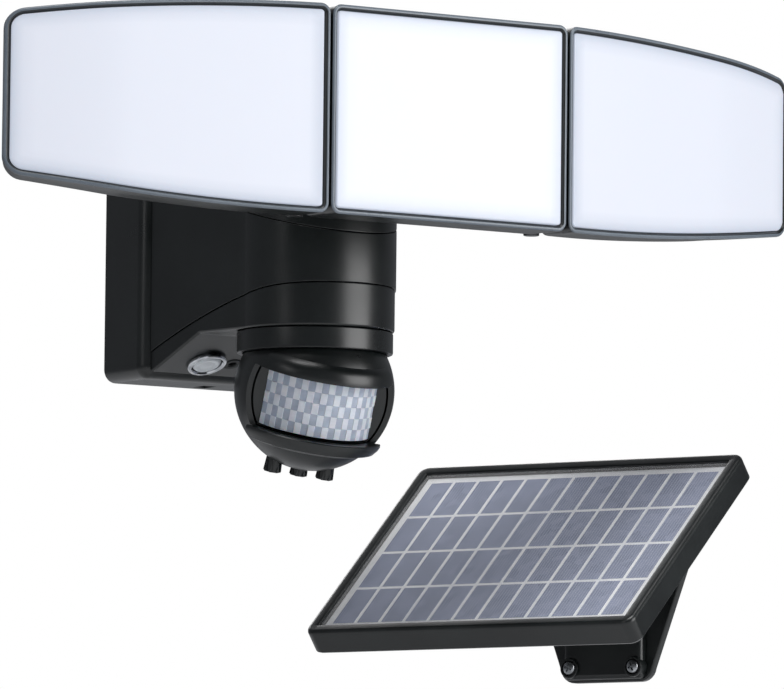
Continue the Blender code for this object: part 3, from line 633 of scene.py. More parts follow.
def turned(
    name: str, profile: Sequence[tuple[float, float]], steps: int = 96, closed: bool = False
) -> bpy.types.Object:
    """Draws a profile point by point and spins it about Z.

    Args:
        name: The piece's name.
        profile: Points as radius and height.
        steps: Faces round the piece.
        closed: Whether the profile is a loop, as for a ring.

    Returns:
        The piece.
    """
    bpy.ops.mesh.primitive_plane_add(size=1.0)
    piece = named(name)
    with editing(piece):
        bpy.ops.mesh.select_mode(type="VERT")
        bpy.ops.mesh.select_all(action="SELECT")
        bpy.ops.mesh.merge(type="CENTER")
        mesh = bmesh.from_edit_mesh(piece.data)
        mesh.verts.ensure_lookup_table()
        mesh.verts[0].co = (profile[0][0], 0.0, profile[0][1])
        bmesh.update_edit_mesh(piece.data)
        for (r0, z0), (r1, z1) in zip(profile, profile[1:]):
            bpy.ops.mesh.extrude_vertices_move(TRANSFORM_OT_translate={"value": (r1 - r0, 0.0, z1 - z0)})
        if closed:
            ends = [Vector((r, 0.0, z)) for r, z in (profile[0], profile[-1])]
            pick(piece, Element.VERT, lambda place, _way: min((place - e).length for e in ends) < WELD)
            bpy.ops.mesh.edge_face_add()
        bpy.ops.mesh.select_all(action="SELECT")
        bpy.ops.mesh.spin(steps=steps, angle=math.tau, center=(0.0, 0.0, 0.0), axis=(0.0, 0.0, 1.0))
        bpy.ops.mesh.select_all(action="SELECT")
        bpy.ops.mesh.remove_doubles(threshold=WELD)
        bpy.ops.mesh.normals_make_consistent(inside=False)
    return piece


def combine(piece: bpy.types.Object, tool: bpy.types.Object, how: str) -> bpy.types.Object:
    """Applies an exact Boolean with a tool shape, which is then thrown away."""
    take(piece)
    step = piece.modifiers.new(how.lower(), "BOOLEAN")
    step.operation = how
    step.solver = "EXACT"
    step.object = tool
    bpy.ops.object.modifier_apply(modifier=step.name)
    bpy.data.objects.remove(tool)
    return piece


def cut(piece: bpy.types.Object, *tools: bpy.types.Object) -> bpy.types.Object:
    """Takes each tool shape away from a piece."""
    for tool in tools:
        combine(piece, tool, "DIFFERENCE")
    return piece


def weld(piece: bpy.types.Object, *others: bpy.types.Object) -> bpy.types.Object:
    """Welds other shapes onto a piece."""
    for other in others:
        combine(piece, other, "UNION")
    return piece


def thicken(piece: bpy.types.Object, wall: float) -> bpy.types.Object:
    """Gives an open skin a wall on its inner side."""
    take(piece)
    step = piece.modifiers.new("wall", "SOLIDIFY")
    step.thickness = wall
    step.offset = -1.0
    step.use_even_offset = True
    bpy.ops.object.modifier_apply(modifier=step.name)
    return piece


def place_piece(piece: bpy.types.Object, matrix: Matrix) -> bpy.types.Object:
    """Puts a piece that was made at its own frame in its place, in its mesh."""
    take(piece)
    piece.matrix_world = matrix
    bpy.context.view_layer.update()
    bpy.ops.object.transform_apply(location=True, rotation=True, scale=True)
    return piece


def join_pieces(piece: bpy.types.Object, others: Sequence[bpy.types.Object]) -> bpy.types.Object:
    """Joins other shapes into one piece without welding them."""
    take(piece)
    for other in others:
        other.select_set(True)
    bpy.ops.object.join()
    return piece


def shade(piece: bpy.types.Object, degrees: float = 32.0, weighted: bool = True) -> None:
    """Shades round faces smooth, and keeps large flat faces flat beside a rounding."""
    take(piece)
    bpy.ops.object.shade_smooth_by_angle(angle=math.radians(degrees))
    if weighted:
        step = piece.modifiers.new("weighted", "WEIGHTED_NORMAL")
        step.keep_sharp = True
        bpy.ops.object.modifier_apply(modifier=step.name)


def arc(radius: float, start: float, end: float, count: int) -> list[tuple[float, float]]:
    """Points on a circle about the origin, as radius and height, by elevation in degrees."""
    angles = [math.radians(start + (end - start) * i / count) for i in range(count + 1)]
    return [(max(0.0, radius * math.cos(a)), radius * math.sin(a)) for a in angles]


def joint(name: str) -> tuple[Vector, Vector]:
    """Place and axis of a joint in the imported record."""
    found = next(j for j in frame["joints"] if j["name"] == name)
    return Vector(found.get("pos_m", (0.0, 0.0, 0.0))), Vector(found["axis"]).normalized()


# Shop: finishes by slot, and fitting pieces to the frame -----------------------------------------------
class Shop:
    """Holds the built materials, and fits finished pieces to their bodies."""

    def __init__(self) -> None:
        """Builds the finishes that need no place."""
        plain = (BLACK_ABS, RIM_PAINTED_HIGHLIGHT, PLUG_RUBBER, OPAL, ZINC_STEEL, CHROME, BUTTON_RUBBER, BOARD_GREEN)
        plain += (BOARD_WHITE, SLEEVE, BACK_SHEET, GLASS, LENS_PALE, LENS_PAINTED_SHADE)
        self.made: dict[str, bpy.types.Material] = {finish.name: finish.build() for finish in plain}

    def dress(self, piece: bpy.types.Object, *finishes: Finish) -> None:
        """Gives a piece its finishes, one material slot each, and keeps which face has which."""
        chosen = [face.material_index for face in piece.data.polygons]
        piece.data.materials.clear()
        for finish in finishes:
            piece.data.materials.append(self.made[finish.name])
        piece.data.polygons.foreach_set("material_index", chosen)

    def fit(
        self, piece: bpy.types.Object, body: str, nodes: Sequence[str], slot: str, *finishes: Finish
    ) -> bpy.types.Object:
        """Dresses a finished piece, rides it on its body and hides the CAD nodes that it replaces.

        Args:
            piece: The finished piece.
            body: The body that it moves with.
            nodes: The CAD nodes that it replaces.
            slot: The record's material slot; not used.
            finishes: One finish for each material slot of the piece.

        Returns:
            The piece.
        """
        if not piece.data.polygons:
            raise ValueError(f"{piece.name} has no faces")
        self.dress(piece, *finishes)
        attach(piece, body)
        if nodes:
            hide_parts(*nodes)
        log.info("%s rides on %s, %d faces", piece.name, body, len(piece.data.polygons))
        return piece


# Wall box ---------------------------------------------------------------------------------------------
@dataclass
class WallBox:
    """The box on the wall: rounded, open at the back, with a drain slot in its bottom face."""

    shop: Shop
    corner: float = 6.0 * MM
    wall: float = 2.6 * MM
    slot_half: float = 3.5 * MM
    slot_y: tuple[float, float] = (-16.0 * MM, -6.0 * MM)
    wire_window: tuple[float, float, float] = (12.0 * MM, -10.0 * MM, 14.0 * MM)

    def build(self) -> None:
        """Builds the shell and fits it."""
        low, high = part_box("wall_box")
        shell = block("wall_box_shell", low, (high.x, 2 * self.corner, high.z))
        soften(shell, self.corner, 8, 60.0)
        with editing(shell):
            bpy.ops.mesh.select_all(action="SELECT")
            bpy.ops.mesh.bisect(plane_co=(0, 0, 0), plane_no=(0, 1, 0), clear_outer=True, use_fill=False)
        thicken(shell, self.wall)
        half, window_low, window_high = self.wire_window
        slot, (back, front), through = self.slot_half, self.slot_y, 10.0 * MM
        cut(
            shell,
            block("slot", (-slot, back, low.z - through), (slot, front, low.z + through)),
            block("window", (-half, low.y - through, window_low), (half, low.y + through, window_high)),
        )
        shade(shell)
        self.shop.fit(shell, "fixture", ["wall_box"], "black_plastic", BLACK_ABS)


# Arm --------------------------------------------------------------------------------------------------
@dataclass
class Arm:
    """The arm: an upper shell, a lower shell half a millimetre in, and a sloping cover with a soft edge."""

    shop: Shop
    column_radius: float = 36.5 * MM
    root_half: float = 43.7 * MM
    step: float = 0.5 * MM
    wall: float = 2.6 * MM
    seam_low: float = -21.2 * MM
    seam_drop: float = 26.1 * MM
    seam_power: float = 1.7
    top_front: float = 1.5 * MM
    top_slope: float = 0.263
    cover_back: float = 46.0 * MM
    cover_front: float = 20.0 * MM
    cover_edge: float = 3.6 * MM
    floor_z: float = -41.0 * MM
    slope_start: tuple[float, float] = (-33.8 * MM, -56.8 * MM)
    slope_end: tuple[float, float] = (-65.0 * MM, -42.4 * MM)
    seam_round: float = 0.45 * MM
    arc_steps: int = 64
    side_steps: int = 14
    column: Vector = field(init=False)
    root_y: float = field(init=False)
    front_y: float = field(init=False)

    def __post_init__(self) -> None:
        """Takes the column's axis and the wall end from the frame."""
        self.column = joint("sensor_pan")[0]
        self.root_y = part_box("wall_box")[0].y - GAP
        self.front_y = self.column.y - self.column_radius - 2 * MM

    def outline(self, inset: float) -> list[tuple[float, float]]:
        """Plan of the arm, moved inwards by inset: straight sides that run into the round column."""
        radius = self.column_radius - inset
        root = self.root_half - inset
        start = math.atan2(root - radius, self.root_y - self.column.y)
        turn = math.pi + 2 * start
        angles = [start - turn * i / self.arc_steps for i in range(self.arc_steps + 1)]
        round_part = [(radius * math.cos(a), self.column.y + radius * math.sin(a)) for a in angles]
        count = self.side_steps
        run_x, run_y = round_part[0][0] - root, round_part[0][1] - self.root_y
        right = [(root + run_x * i / count, self.root_y + run_y * i / count) for i in range(count)]
        left = [(-x, y) for x, y in reversed(right)]
        return right + round_part + left

    def lower_seam(self, y: float) -> float:
        """Height of the curved seam between the upper and the lower shell."""
        front = self.column.y - 35.0 * MM
        share = max(0.0, (y - front) / (self.root_y - front))
        return self.seam_low - self.seam_drop * share**self.seam_power

    def top_seam(self, y: float) -> float:
        """Height of the sloping seam under the cover."""
        return self.top_front + self.top_slope * (y - self.column.y + self.column_radius)

    def cover_top(self, y: float) -> float:
        """Height of the cover's sloping top."""
        slope = (self.cover_back - self.cover_front) / (self.root_y - self.front_y)
        return self.cover_front + slope * (y - self.front_y)

    def underside(self, y: float) -> float:
        """Height of the lower shell's underside, flat in front and sloping down to the wall."""
        (y0, z0), (y1, z1) = self.slope_start, self.slope_end
        if y > y1:
            return z1 + (z0 - z1) * (y - y1) / (y0 - y1)
        return min(self.floor_z, z1 + (self.floor_z - z1) * (y1 - y) / (3 * MM))

    def ring(self, inset: float, height: Callable[[float], float], lift: float = 0.0) -> list[Point]:
        """The plan at a height that follows the arm, moved inwards by inset."""
        return [(x, y, height(y) + lift) for x, y in self.outline(inset)]

    def upper(self) -> None:
        """Builds the upper shell as a hoop with rounded seam edges."""
        edge, half = self.seam_round, GAP / 2
        rings = [
            self.ring(self.wall, self.lower_seam, half),
            self.ring(edge, self.lower_seam, half),
            self.ring(edge * 0.3, self.lower_seam, half + edge * 0.3),
            self.ring(0.0, self.lower_seam, half + edge),
            self.ring(0.0, self.top_seam, -half - edge),
            self.ring(edge * 0.3, self.top_seam, -half - edge * 0.3),
            self.ring(edge, self.top_seam, -half),
            self.ring(self.wall, self.top_seam, -half),
        ]
        shell = skin("arm_upper_shell", rings, closed=True)
        shade(shell, 30.0)
        self.shop.fit(shell, "fixture", ["arm_upper"], "black_plastic", BLACK_ABS)

    def lower(self, button: "Button") -> None:
        """Builds the lower shell: its rounded bottom edge, the bent underside and the openings in it.

        Args:
            button: Gives the places of the openings in the sloping underside.
        """
        edge, half, deep = self.seam_round, GAP / 2, 1.2 * MM
        flat = -70.0 * MM
        rings = [
            [(x, y, flat) for x, y in self.outline(self.step)],
            self.ring(self.step, self.lower_seam, -half - edge),
            self.ring(self.step + edge * 0.3, self.lower_seam, -half - edge * 0.3),
            self.ring(self.step + edge, self.lower_seam, -half),
        ]
        shell = skin("arm_lower_shell", rings, filled=True)
        with editing(shell):
            for y in (self.slope_end[0], self.slope_end[0] - 3 * MM):
                bpy.ops.mesh.select_all(action="SELECT")
                bpy.ops.mesh.bisect(plane_co=(0, y, 0), plane_no=(0, 1, 0))
            pick(shell, Element.VERT, lambda place, _way: place.z < flat + WELD)
            mesh = bmesh.from_edit_mesh(shell.data)
            for vert in mesh.verts:
                if vert.select:
                    vert.co.z = self.underside(vert.co.y)
            bmesh.update_edit_mesh(shell.data)
            bpy.ops.mesh.normals_make_consistent(inside=False)
            pick(shell, Element.FACE, lambda place, way: way.z > 0.5)
            bpy.ops.mesh.delete(type="FACE")
            pick_ridges(shell, 50.0, lambda place, _way: place.z < self.underside(place.y) + MM)
            bpy.ops.mesh.bevel(offset=deep, segments=4, affect="EDGES")
        thicken(shell, self.wall - MM)
        top, bottom = self.floor_z + 9 * MM, self.floor_z - 9 * MM
        cut(
            shell,
            bar("collar_hole", (0, self.column.y, bottom), (0, self.column.y, top), 31 * MM, 96),
            *button.openings(),
        )
        shade(shell, 30.0)
        self.shop.fit(shell, "fixture", ["arm_lower"], "black_plastic", BLACK_ABS)

    def cover(self) -> None:
        """Builds the cover with a soft round edge over its sloping top."""
        edge, half, steps = self.cover_edge, GAP / 2, 6
        small = self.seam_round
        rings = [
            self.ring(small, self.top_seam, half),
            self.ring(small * 0.3, self.top_seam, half + small * 0.3),
            self.ring(0.0, self.top_seam, half + small),
        ]
        for i in range(steps + 1):
            angle = QUARTER * i / steps
            inset = edge * (1 - math.cos(angle))
            rings.append(self.ring(inset, self.cover_top, -edge * (1 - math.sin(angle))))
        rings.append(self.ring(edge * 2, self.cover_top))
        lid = skin("top_cover_shell", rings)
        with editing(lid):
            top = [Vector(p) for p in rings[-1]]
            pick(lid, Element.VERT, lambda place, _way: min((place - t).length for t in top) < WELD)
            bpy.ops.mesh.edge_face_add()
            bpy.ops.mesh.select_all(action="SELECT")
            bpy.ops.mesh.normals_make_consistent(inside=False)
        thicken(lid, self.wall - MM)
        shade(lid, 30.0)
        self.shop.fit(lid, "fixture", ["top_cover"], "black_plastic", BLACK_ABS)


# Button and socket --------------------------------------------------------------------------------------
@dataclass
class Button:
    """The push button in its bright ring and the lead socket beside it, on the sloping underside."""

    shop: Shop
    x: float = -20.5 * MM
    y: float = -45.0 * MM
    socket_x: float = -6.5 * MM
    radius: float = 6.8 * MM
    ring_radius: float = 9.3 * MM
    slope_start: tuple[float, float] = (-33.8 * MM, -56.8 * MM)

    def stand(self, x: float) -> Matrix:
        """Frame on the underside at x, with Z pointing out of it."""
        out = -joint("button_press")[1]
        across = Vector((1.0, 0.0, 0.0))
        rest = out.cross(across)
        y0, z0 = self.slope_start
        along = -out.y / out.z
        spot = Vector((x, self.y, z0 + along * (self.y - y0)))
        turn = Matrix((across, rest, out)).transposed()
        return Matrix.Translation(spot) @ turn.to_4x4()

    def openings(self) -> list[bpy.types.Object]:
        """Tools that open the underside for the ring and the socket."""
        ring = bar("ring_hole", (0, 0, -8 * MM), (0, 0, 5 * MM), 8.3 * MM, 64)
        socket = bar("socket_hole", (0, 0, -8 * MM), (0, 0, 5 * MM), 4.5 * MM, 48)
        return [place_piece(ring, self.stand(self.x)), place_piece(socket, self.stand(self.socket_x))]

    def build(self) -> None:
        """Builds the ring, the cap and the socket."""
        bore = self.radius + GAP
        outer = self.ring_radius
        soft = 1.2 * MM
        crown = [(outer - soft + soft * math.cos(a), 1.0 * MM + soft * math.sin(a)) for a in ANGLES_UP]
        ring = turned(
            "bright_button_ring",
            [(bore, 1.5 * MM), (bore + 0.5 * MM, 2.1 * MM)]
            + list(reversed(crown))
            + [(outer, GAP), (8.0 * MM, GAP), (8.0 * MM, -5.5 * MM), (bore, -5.5 * MM)],
            closed=True,
        )
        shade(ring, 30.0, False)
        place_piece(ring, self.stand(self.x))
        self.shop.fit(ring, "fixture", ["button_ring"], "bright_ring", CHROME)

        dome = [(0.0, 2.0), (2.0, 1.95), (3.4, 1.7), (3.9, 1.75), (4.4, 2.0)]
        dome += [(5.2, 2.1), (6.1, 1.7), (6.6, 1.1)]
        dome = [(r * MM, z * MM) for r, z in dome] + [(self.radius, 0.5 * MM)]
        cap = turned("pale_push_cap", dome + [(self.radius, -4.5 * MM), (0.0, -4.5 * MM)], 80)
        shade(cap, 30.0, False)
        place_piece(cap, self.stand(self.x))
        self.shop.fit(cap, "push_button", ["button_cap"], "pale_button", BUTTON_RUBBER)

        wall_in, wall_out = 1.9 * MM, 4.2 * MM
        socket = turned(
            "lead_socket_body",
            [
                (0.0, -5.0 * MM),
                (0.55 * MM, -5.0 * MM),
                (0.55 * MM, -1.2 * MM),
                (0.35 * MM, -0.9 * MM),
                (0.60 * MM, -1.0 * MM),
                (0.60 * MM, -6.0 * MM),
                (wall_in, -6.0 * MM),
                (wall_in, -0.1 * MM),
                (wall_in + 0.5 * MM, 0.4 * MM),
                (wall_out - 0.3 * MM, 0.4 * MM),
                (wall_out, 0.1 * MM),
                (wall_out, -8.0 * MM),
                (0.0, -8.0 * MM),
            ],
            64,
        )
        shade(socket, 30.0, False)
        place_piece(socket, self.stand(self.socket_x))
        self.shop.fit(socket, "fixture", ["lead_socket"], "black_plastic", PLUG_RUBBER)


# Sensor -------------------------------------------------------------------------------------------------
@dataclass
class Sensor:
    """The turning collar and the sensor ball: shell with visor and lip, lens frame, lens and knobs."""

    shop: Shop
    ball_radius: float = 36.3 * MM
    ball_wall: float = 2.2 * MM
    mouth_z: float = -45.0 * MM
    top_angle: float = 66.0
    window_top: float = 10.7 * MM
    window_bottom: float = -17.0 * MM
    window_back: float = -13.0 * MM
    lens_radius: float = 28.8 * MM
    lens_low: float = -15.8 * MM
    lens_high: float = 9.7 * MM
    lens_rows: int = 5
    lens_columns: int = 20
    knob_radius: float = 3.7 * MM
    collar_radius: float = 35.4 * MM
    collar_low: float = -51.0 * MM
    collar_high: float = -41.3 * MM
    ball: Matrix = field(init=False)

    def __post_init__(self) -> None:
        """Takes the ball's own frame from its tilt joint and its knobs' axis."""
        spot, across = joint("sensor_tilt")
        up = joint("time_turn")[1]
        back = up.cross(across).normalized()
        turn = Matrix((across, back, across.cross(back))).transposed()
        self.ball = Matrix.Translation(spot) @ turn.to_4x4()

    def collar(self) -> None:
        """Builds the collar with a soft upper edge and a thin lip at its foot."""
        inner, neck, lip = 27.6 * MM, 30.7 * MM, 32.6 * MM
        outer, low, high = self.collar_radius, self.collar_low, self.collar_high
        soft = 0.7 * MM
        foot = 0.9 * MM
        piece = turned(
            "sensor_collar_ring",
            [
                (inner, -36.0 * MM),
                (lip, -36.0 * MM),
                (lip, -38.0 * MM),
                (neck, -38.0 * MM),
                (neck, high),
                (outer - soft, high),
                (outer - soft * 0.3, high - soft * 0.3),
                (outer, high - soft),
                (outer, low + foot),
                (outer - soft * 0.3, low + soft * 0.3),
                (outer - soft, low),
                (32.9 * MM, low),
                (32.9 * MM, -43.3 * MM),
                (inner, -43.3 * MM),
            ],
            144,
            closed=True,
        )
        place_piece(piece, Matrix.Translation((self.ball.translation.x, self.ball.translation.y, 0.0)))
        shade(piece, 30.0)
        self.shop.fit(piece, "collar", ["sensor_collar"], "black_plastic", BLACK_ABS)

    def shell(self) -> None:
        """Builds the ball's shell with its visor and lower lip."""
        inside = self.ball_radius - self.ball_wall
        profile = arc(inside, -90.0, self.top_angle, 40) + arc(self.ball_radius, self.top_angle, -90.0, 48)
        shell = turned("sensor_ball_shell", profile, 128)
        top, bottom = self.window_top, self.window_bottom
        visor = turned(
            "visor",
            [
                (29.0 * MM, 18.0 * MM),
                (30.2 * MM, 18.7 * MM),
                (31.8 * MM, 17.6 * MM),
                (33.1 * MM, 16.0 * MM),
                (33.9 * MM, 14.2 * MM),
                (34.35 * MM, 12.4 * MM),
                (34.4 * MM, top + 0.3 * MM),
                (34.1 * MM, top),
                (32.5 * MM, top),
            ],
            128,
            closed=True,
        )
        place_piece(visor, Matrix.Translation((0.0, -3.0 * MM, 0.0)))
        combine(visor, block("visor_front", (-0.05, -0.05, 0.0), (0.05, -0.019, 0.03)), "INTERSECT")
        lip = turned(
            "lip",
            [
                (31.0 * MM, bottom),
                (33.6 * MM, bottom),
                (33.95 * MM, bottom - 0.35 * MM),
                (34.0 * MM, -18.5 * MM),
                (33.3 * MM, -20.2 * MM),
                (31.5 * MM, -22.5 * MM),
                (26.8 * MM, -24.0 * MM),
            ],
            128,
            closed=True,
        )
        place_piece(lip, Matrix.Translation((0.0, -2.0 * MM, 0.0)))
        combine(lip, block("lip_front", (-0.05, -0.05, -0.03), (0.05, -0.015, 0.0)), "INTERSECT")
        weld(shell, visor, lip)
        cut(shell, block("window", (-FAR, -FAR, bottom), (FAR, self.window_back, top)))
        for x in self.knob_places():
            cut(shell, bar("knob_hole", (x, 0, -0.040), (x, 0, -0.029), self.knob_radius + GAP))
        place_piece(shell, self.ball)
        centre = self.ball.translation
        near, far, low = centre.y - FAR, centre.y + FAR, self.mouth_z
        mouth = block("mouth", (-FAR, near, low), (FAR, far, low + FAR))
        cut(shell, mouth)
        shade(shell, 28.0)
        self.shop.fit(shell, "ball", ["ball_shell"], "black_plastic", BLACK_ABS)

    def knob_places(self) -> list[float]:
        """Where the knobs stand across the ball, from their joints."""
        to_ball = self.ball.inverted()
        return [(to_ball @ joint(f"{name}_turn")[0]).x for name in ("range", "time", "dusk")]

    def housing(self) -> None:
        """Builds the frame that holds the lens, with cheeks at both ends of the window."""
        clearance, wall = 0.9 * MM, 1.8 * MM
        radius = self.ball_radius - self.ball_wall - clearance
        top, bottom, back = self.window_top, self.window_bottom, self.window_back
        piece = turned("lens_holder", arc(radius, 90.0, -90.0, 48), 128)
        keep = block("keep", (-FAR, -FAR, bottom - wall), (FAR, back + wall, top + wall))
        combine(piece, keep, "INTERSECT")
        cut(
            piece,
            block("slot", (-FAR, -FAR, bottom + GAP), (FAR, back, top - GAP)),
            block("sight", (-0.021, -0.02, -0.014), (0.021, 0.0, 0.008)),
        )
        shade(piece, 28.0)
        place_piece(piece, self.ball)
        self.shop.fit(piece, "ball", ["lens_frame"], "black_plastic", BLACK_ABS)

    def lens(self) -> None:
        """Builds the lens: a curved sheet of segments, every second one raised, the others greyed as painted
        shade.
        """
        rows, columns = self.lens_rows, self.lens_columns
        half_turn = math.acos(-(self.window_back - GAP) / self.lens_radius)
        fine = 2
        bpy.ops.mesh.primitive_grid_add(x_subdivisions=columns * fine, y_subdivisions=rows, size=2.0)
        piece = named("segment_lens")
        height = self.lens_high - self.lens_low
        for vert in piece.data.vertices:
            angle = vert.co.x * half_turn
            radius = self.lens_radius - 0.25 * MM
            z = self.lens_low + (vert.co.y + 1) / 2 * height
            vert.co = (radius * math.sin(angle), -radius * math.cos(angle), z)

        def raised(place: Vector, _way: Vector) -> bool:
            """Whether a face belongs to a raised segment of the checker."""
            angle = math.atan2(place.x, -place.y) + half_turn
            column = int(angle / (2 * half_turn) * columns)
            row = int((place.z - self.lens_low) / height * rows)
            return (column + row) % 2 == 0

        shop = self.shop
        # Slot 0 greys the segments that are not raised, as painted shade; slot 1 is the film's own pale colour.
        shop.dress(piece, LENS_PAINTED_SHADE, LENS_PALE)
        with editing(piece):
            bpy.ops.mesh.select_all(action="SELECT")
            bpy.ops.mesh.normals_make_consistent(inside=False)
            mesh = bmesh.from_edit_mesh(piece.data)
            outwards = sum(face.normal.dot(face.calc_center_median()) for face in mesh.faces)
            if outwards < 0.0:
                bpy.ops.mesh.flip_normals()
            pick(piece, Element.FACE, raised)
            mesh = bmesh.from_edit_mesh(piece.data)
            for face in mesh.faces:
                face.material_index = 1 if face.select else 0
            bmesh.update_edit_mesh(piece.data)
            bpy.ops.mesh.inset(thickness=0.12 * MM, depth=0.22 * MM, use_boundary=True)
        thicken(piece, 1.0 * MM)
        shade(piece, 22.0, False)
        place_piece(piece, self.ball)
        shop.fit(piece, "ball", ["sensor_lens"], "sensor_lens", LENS_PAINTED_SHADE, LENS_PALE)

    def knobs(self) -> None:
        """Builds the three fluted setting knobs with a screwdriver slot in each."""
        names = ("range", "time", "dusk")
        sides = 40
        for name, x in zip(names, self.knob_places()):
            low, high = -39.5 * MM, -32.0 * MM
            knob = bar(f"{name}_setting_knob", (0, 0, low), (0, 0, high), self.knob_radius, sides)
            with editing(knob):
                step = math.tau / sides

                def flute(place: Vector, way: Vector) -> bool:
                    """Whether a side face is one of every fifth."""
                    return abs(way.z) < 0.5 and round(math.atan2(place.y, place.x) / step - 0.5) % 5 == 0

                pick(knob, Element.FACE, flute)
                bpy.ops.mesh.inset(thickness=0.05 * MM, depth=-0.25 * MM, use_individual=True)
                pick_ridges(knob, 60.0, lambda place, _way: place.z < low + WELD)
                bpy.ops.mesh.bevel(offset=0.35 * MM, segments=3, affect="EDGES")
            cut(knob, block("slot", (-3 * MM, -0.5 * MM, -41 * MM), (3 * MM, 0.5 * MM, -38.7 * MM)))
            shade(knob, 30.0)
            place_piece(knob, self.ball @ Matrix.Translation((x, 0.0, 0.0)))
            self.shop.fit(knob, f"{name}_dial", [f"{name}_knob"], "black_plastic", BLACK_ABS)

    def build(self) -> None:
        """Builds the sensor from its collar to its knobs."""
        self.collar()
        self.shell()
        self.housing()
        self.lens()
        self.knobs()


# Head ---------------------------------------------------------------------------------------------------
@dataclass
class Panel:
    """One lamp panel: bezel, opal sheet and ribbed rear housing, swept back on the wings."""

    shop: Shop
    side: str
    body: str
    swept: bool
    sign: float
    start: float = field(init=False)
    end: float = field(init=False)
    front: float = field(init=False)
    height: float = field(init=False)
    sweep_slope: float = 0.175
    curl_start: float = 95.0 * MM
    curl: float = 4.1
    taper: float = 10.8 * MM
    lean_run: float = 60.0 * MM
    inner_corner: float = 4.5 * MM
    outer_corner: float = 8.0 * MM
    rim: float = 2.6 * MM
    bezel_depth: float = 9.0 * MM
    depth: float = 25.0 * MM
    sheet_front: float = 0.6 * MM
    sheet_back: float = 3.2 * MM
    # Width of the band of painted shade along the sheet's rim.
    rim_shade_width: float = 9.0 * MM
    corner_steps: int = 8
    middle_steps: int = 26

    def __post_init__(self) -> None:
        """Takes the panel's ends, front and height from its CAD bezel."""
        low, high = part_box(f"{self.side}_bezel")
        reach = sorted(abs(x) for x in (low.x, high.x))
        self.start, self.end = (reach[0], reach[1]) if self.swept else (low.x, high.x)
        self.front = low.y
        self.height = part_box("centre_bezel")[1].z

    def sweep(self, x: float) -> float:
        """How far the face lies behind the head's front plane at x."""
        if not self.swept:
            return 0.0
        run = x - self.start
        return self.sweep_slope * run + self.curl * max(0.0, run - self.curl_start) ** 2

    def lean(self, x: float) -> float:
        """Slope that the depth is square to: none at the seam, and the face's own slope further out."""
        if not self.swept:
            return 0.0
        run = x - self.start
        slope = self.sweep_slope + 2.0 * self.curl * max(0.0, run - self.curl_start)
        return slope * min(1.0, max(0.0, run) / self.lean_run)

    def stations(self, inset: float) -> list[float]:
        """Places along X, close together in the rounded corners."""
        x0, x1 = self.start + inset, self.end - inset
        r0 = max(0.5 * MM, self.inner_corner - inset)
        r1 = max(0.5 * MM, (self.outer_corner if self.swept else self.inner_corner) - inset)
        angles = [QUARTER * i / self.corner_steps for i in range(self.corner_steps + 1)]
        gap = (x1 - r1) - (x0 + r0)
        count = self.middle_steps
        places = [x0 + r0 * (1 - math.cos(a)) for a in angles]
        places += [x0 + r0 + gap * i / count for i in range(1, count)]
        places += [x1 - r1 * (1 - math.cos(a)) for a in reversed(angles)]
        return places

    def lost(self, x: float, inset: float) -> float:
        """Height lost at the top and at the bottom at x: inset, corner and arched taper."""
        x0, x1 = self.start + inset, self.end - inset
        r0 = max(0.5 * MM, self.inner_corner - inset)
        r1 = max(0.5 * MM, (self.outer_corner if self.swept else self.inner_corner) - inset)
        lost = inset
        for near, radius in ((x - x0, r0), (x1 - x, r1)):
            if near < radius:
                lost += radius - math.sqrt(max(0.0, radius**2 - (radius - near) ** 2))
        share = (x - self.start) / (self.end - self.start)
        return lost + (self.taper * share**2 if self.swept else 0.0)

    def spot(self, x: float, z: float, depth: float) -> Point:
        """A point of the panel: x and z on its face, and how deep behind the face."""
        lean = self.lean(x)
        stretch = math.sqrt(1.0 + lean**2)
        return (self.sign * (x - depth * lean / stretch), self.front + self.sweep(x) + depth / stretch, z)

    def loop(self, inset: float, depth: float) -> list[Point]:
        """The panel's outline, moved inwards by inset, at a depth behind the face."""
        places = self.stations(inset)
        bottom = [self.spot(x, self.lost(x, inset), depth) for x in places]
        top = [self.spot(x, self.height - self.lost(x, inset), depth) for x in reversed(places)]
        return bottom + top

    def bezel(self) -> None:
        """Builds the rim: a black outer wall, a front band with a round edge painted grey as a highlight, a black
        step to the sheet.
        """
        r, deep = 1.0 * MM, self.bezel_depth
        rings = [self.loop(self.rim, deep), self.loop(0.0, deep), self.loop(0.0, r)]
        steps = 5
        for i in range(1, steps + 1):
            angle = QUARTER * i / steps
            rings.append(self.loop(r * (1 - math.cos(angle)), r * (1 - math.sin(angle))))
        rings.append(self.loop(1.55 * MM, 0.02 * MM))
        rings.append(self.loop(1.95 * MM, 0.35 * MM))
        rings.append(self.loop(2.25 * MM, 1.1 * MM))
        rings.append(self.loop(self.rim, 1.3 * MM))
        dark_from = len(rings) - 4
        piece = skin(f"{self.side}_panel_rim", rings, closed=True)
        bands = piece.data.attributes["band"].data
        # The front band takes the grey painted highlight; the outer wall and the step stay black.
        for face in piece.data.polygons:
            found = [bands[v].value for v in face.vertices]
            takes_painted_highlight = min(found) >= HIGHLIGHT_FIRST_BAND and max(found) <= dark_from
            face.material_index = 0 if takes_painted_highlight else 1
        shade(piece, 40.0)
        self.shop.fit(piece, self.body, [f"{self.side}_bezel"], "grey_rim", RIM_PAINTED_HIGHLIGHT, BLACK_ABS)

    def block_between(
        self, name: str, inset: float, near: float, far: float, front_round: float, back_round: float
    ) -> bpy.types.Object:
        """Closed block across the panel from station to station, with rounded edges.

        Args:
            name: The piece's name.
            inset: How far its outline lies inside the panel's.
            near: Depth of its front face.
            far: Depth of its back face.
            front_round: Rounding of the front edge.
            back_round: Rounding of the back edge.

        Returns:
            The block.
        """
        x0, x1 = self.start + inset, self.end - inset
        rows = 22
        shares = [i / rows for i in range(rows + 1)]

        def fall(distance: float, radius: float) -> float:
            """How far a rounded edge falls away at a distance from the outline."""
            if radius <= 0.0 or distance >= radius:
                return 0.0
            return radius - math.sqrt(max(0.0, radius**2 - (radius - distance) ** 2))

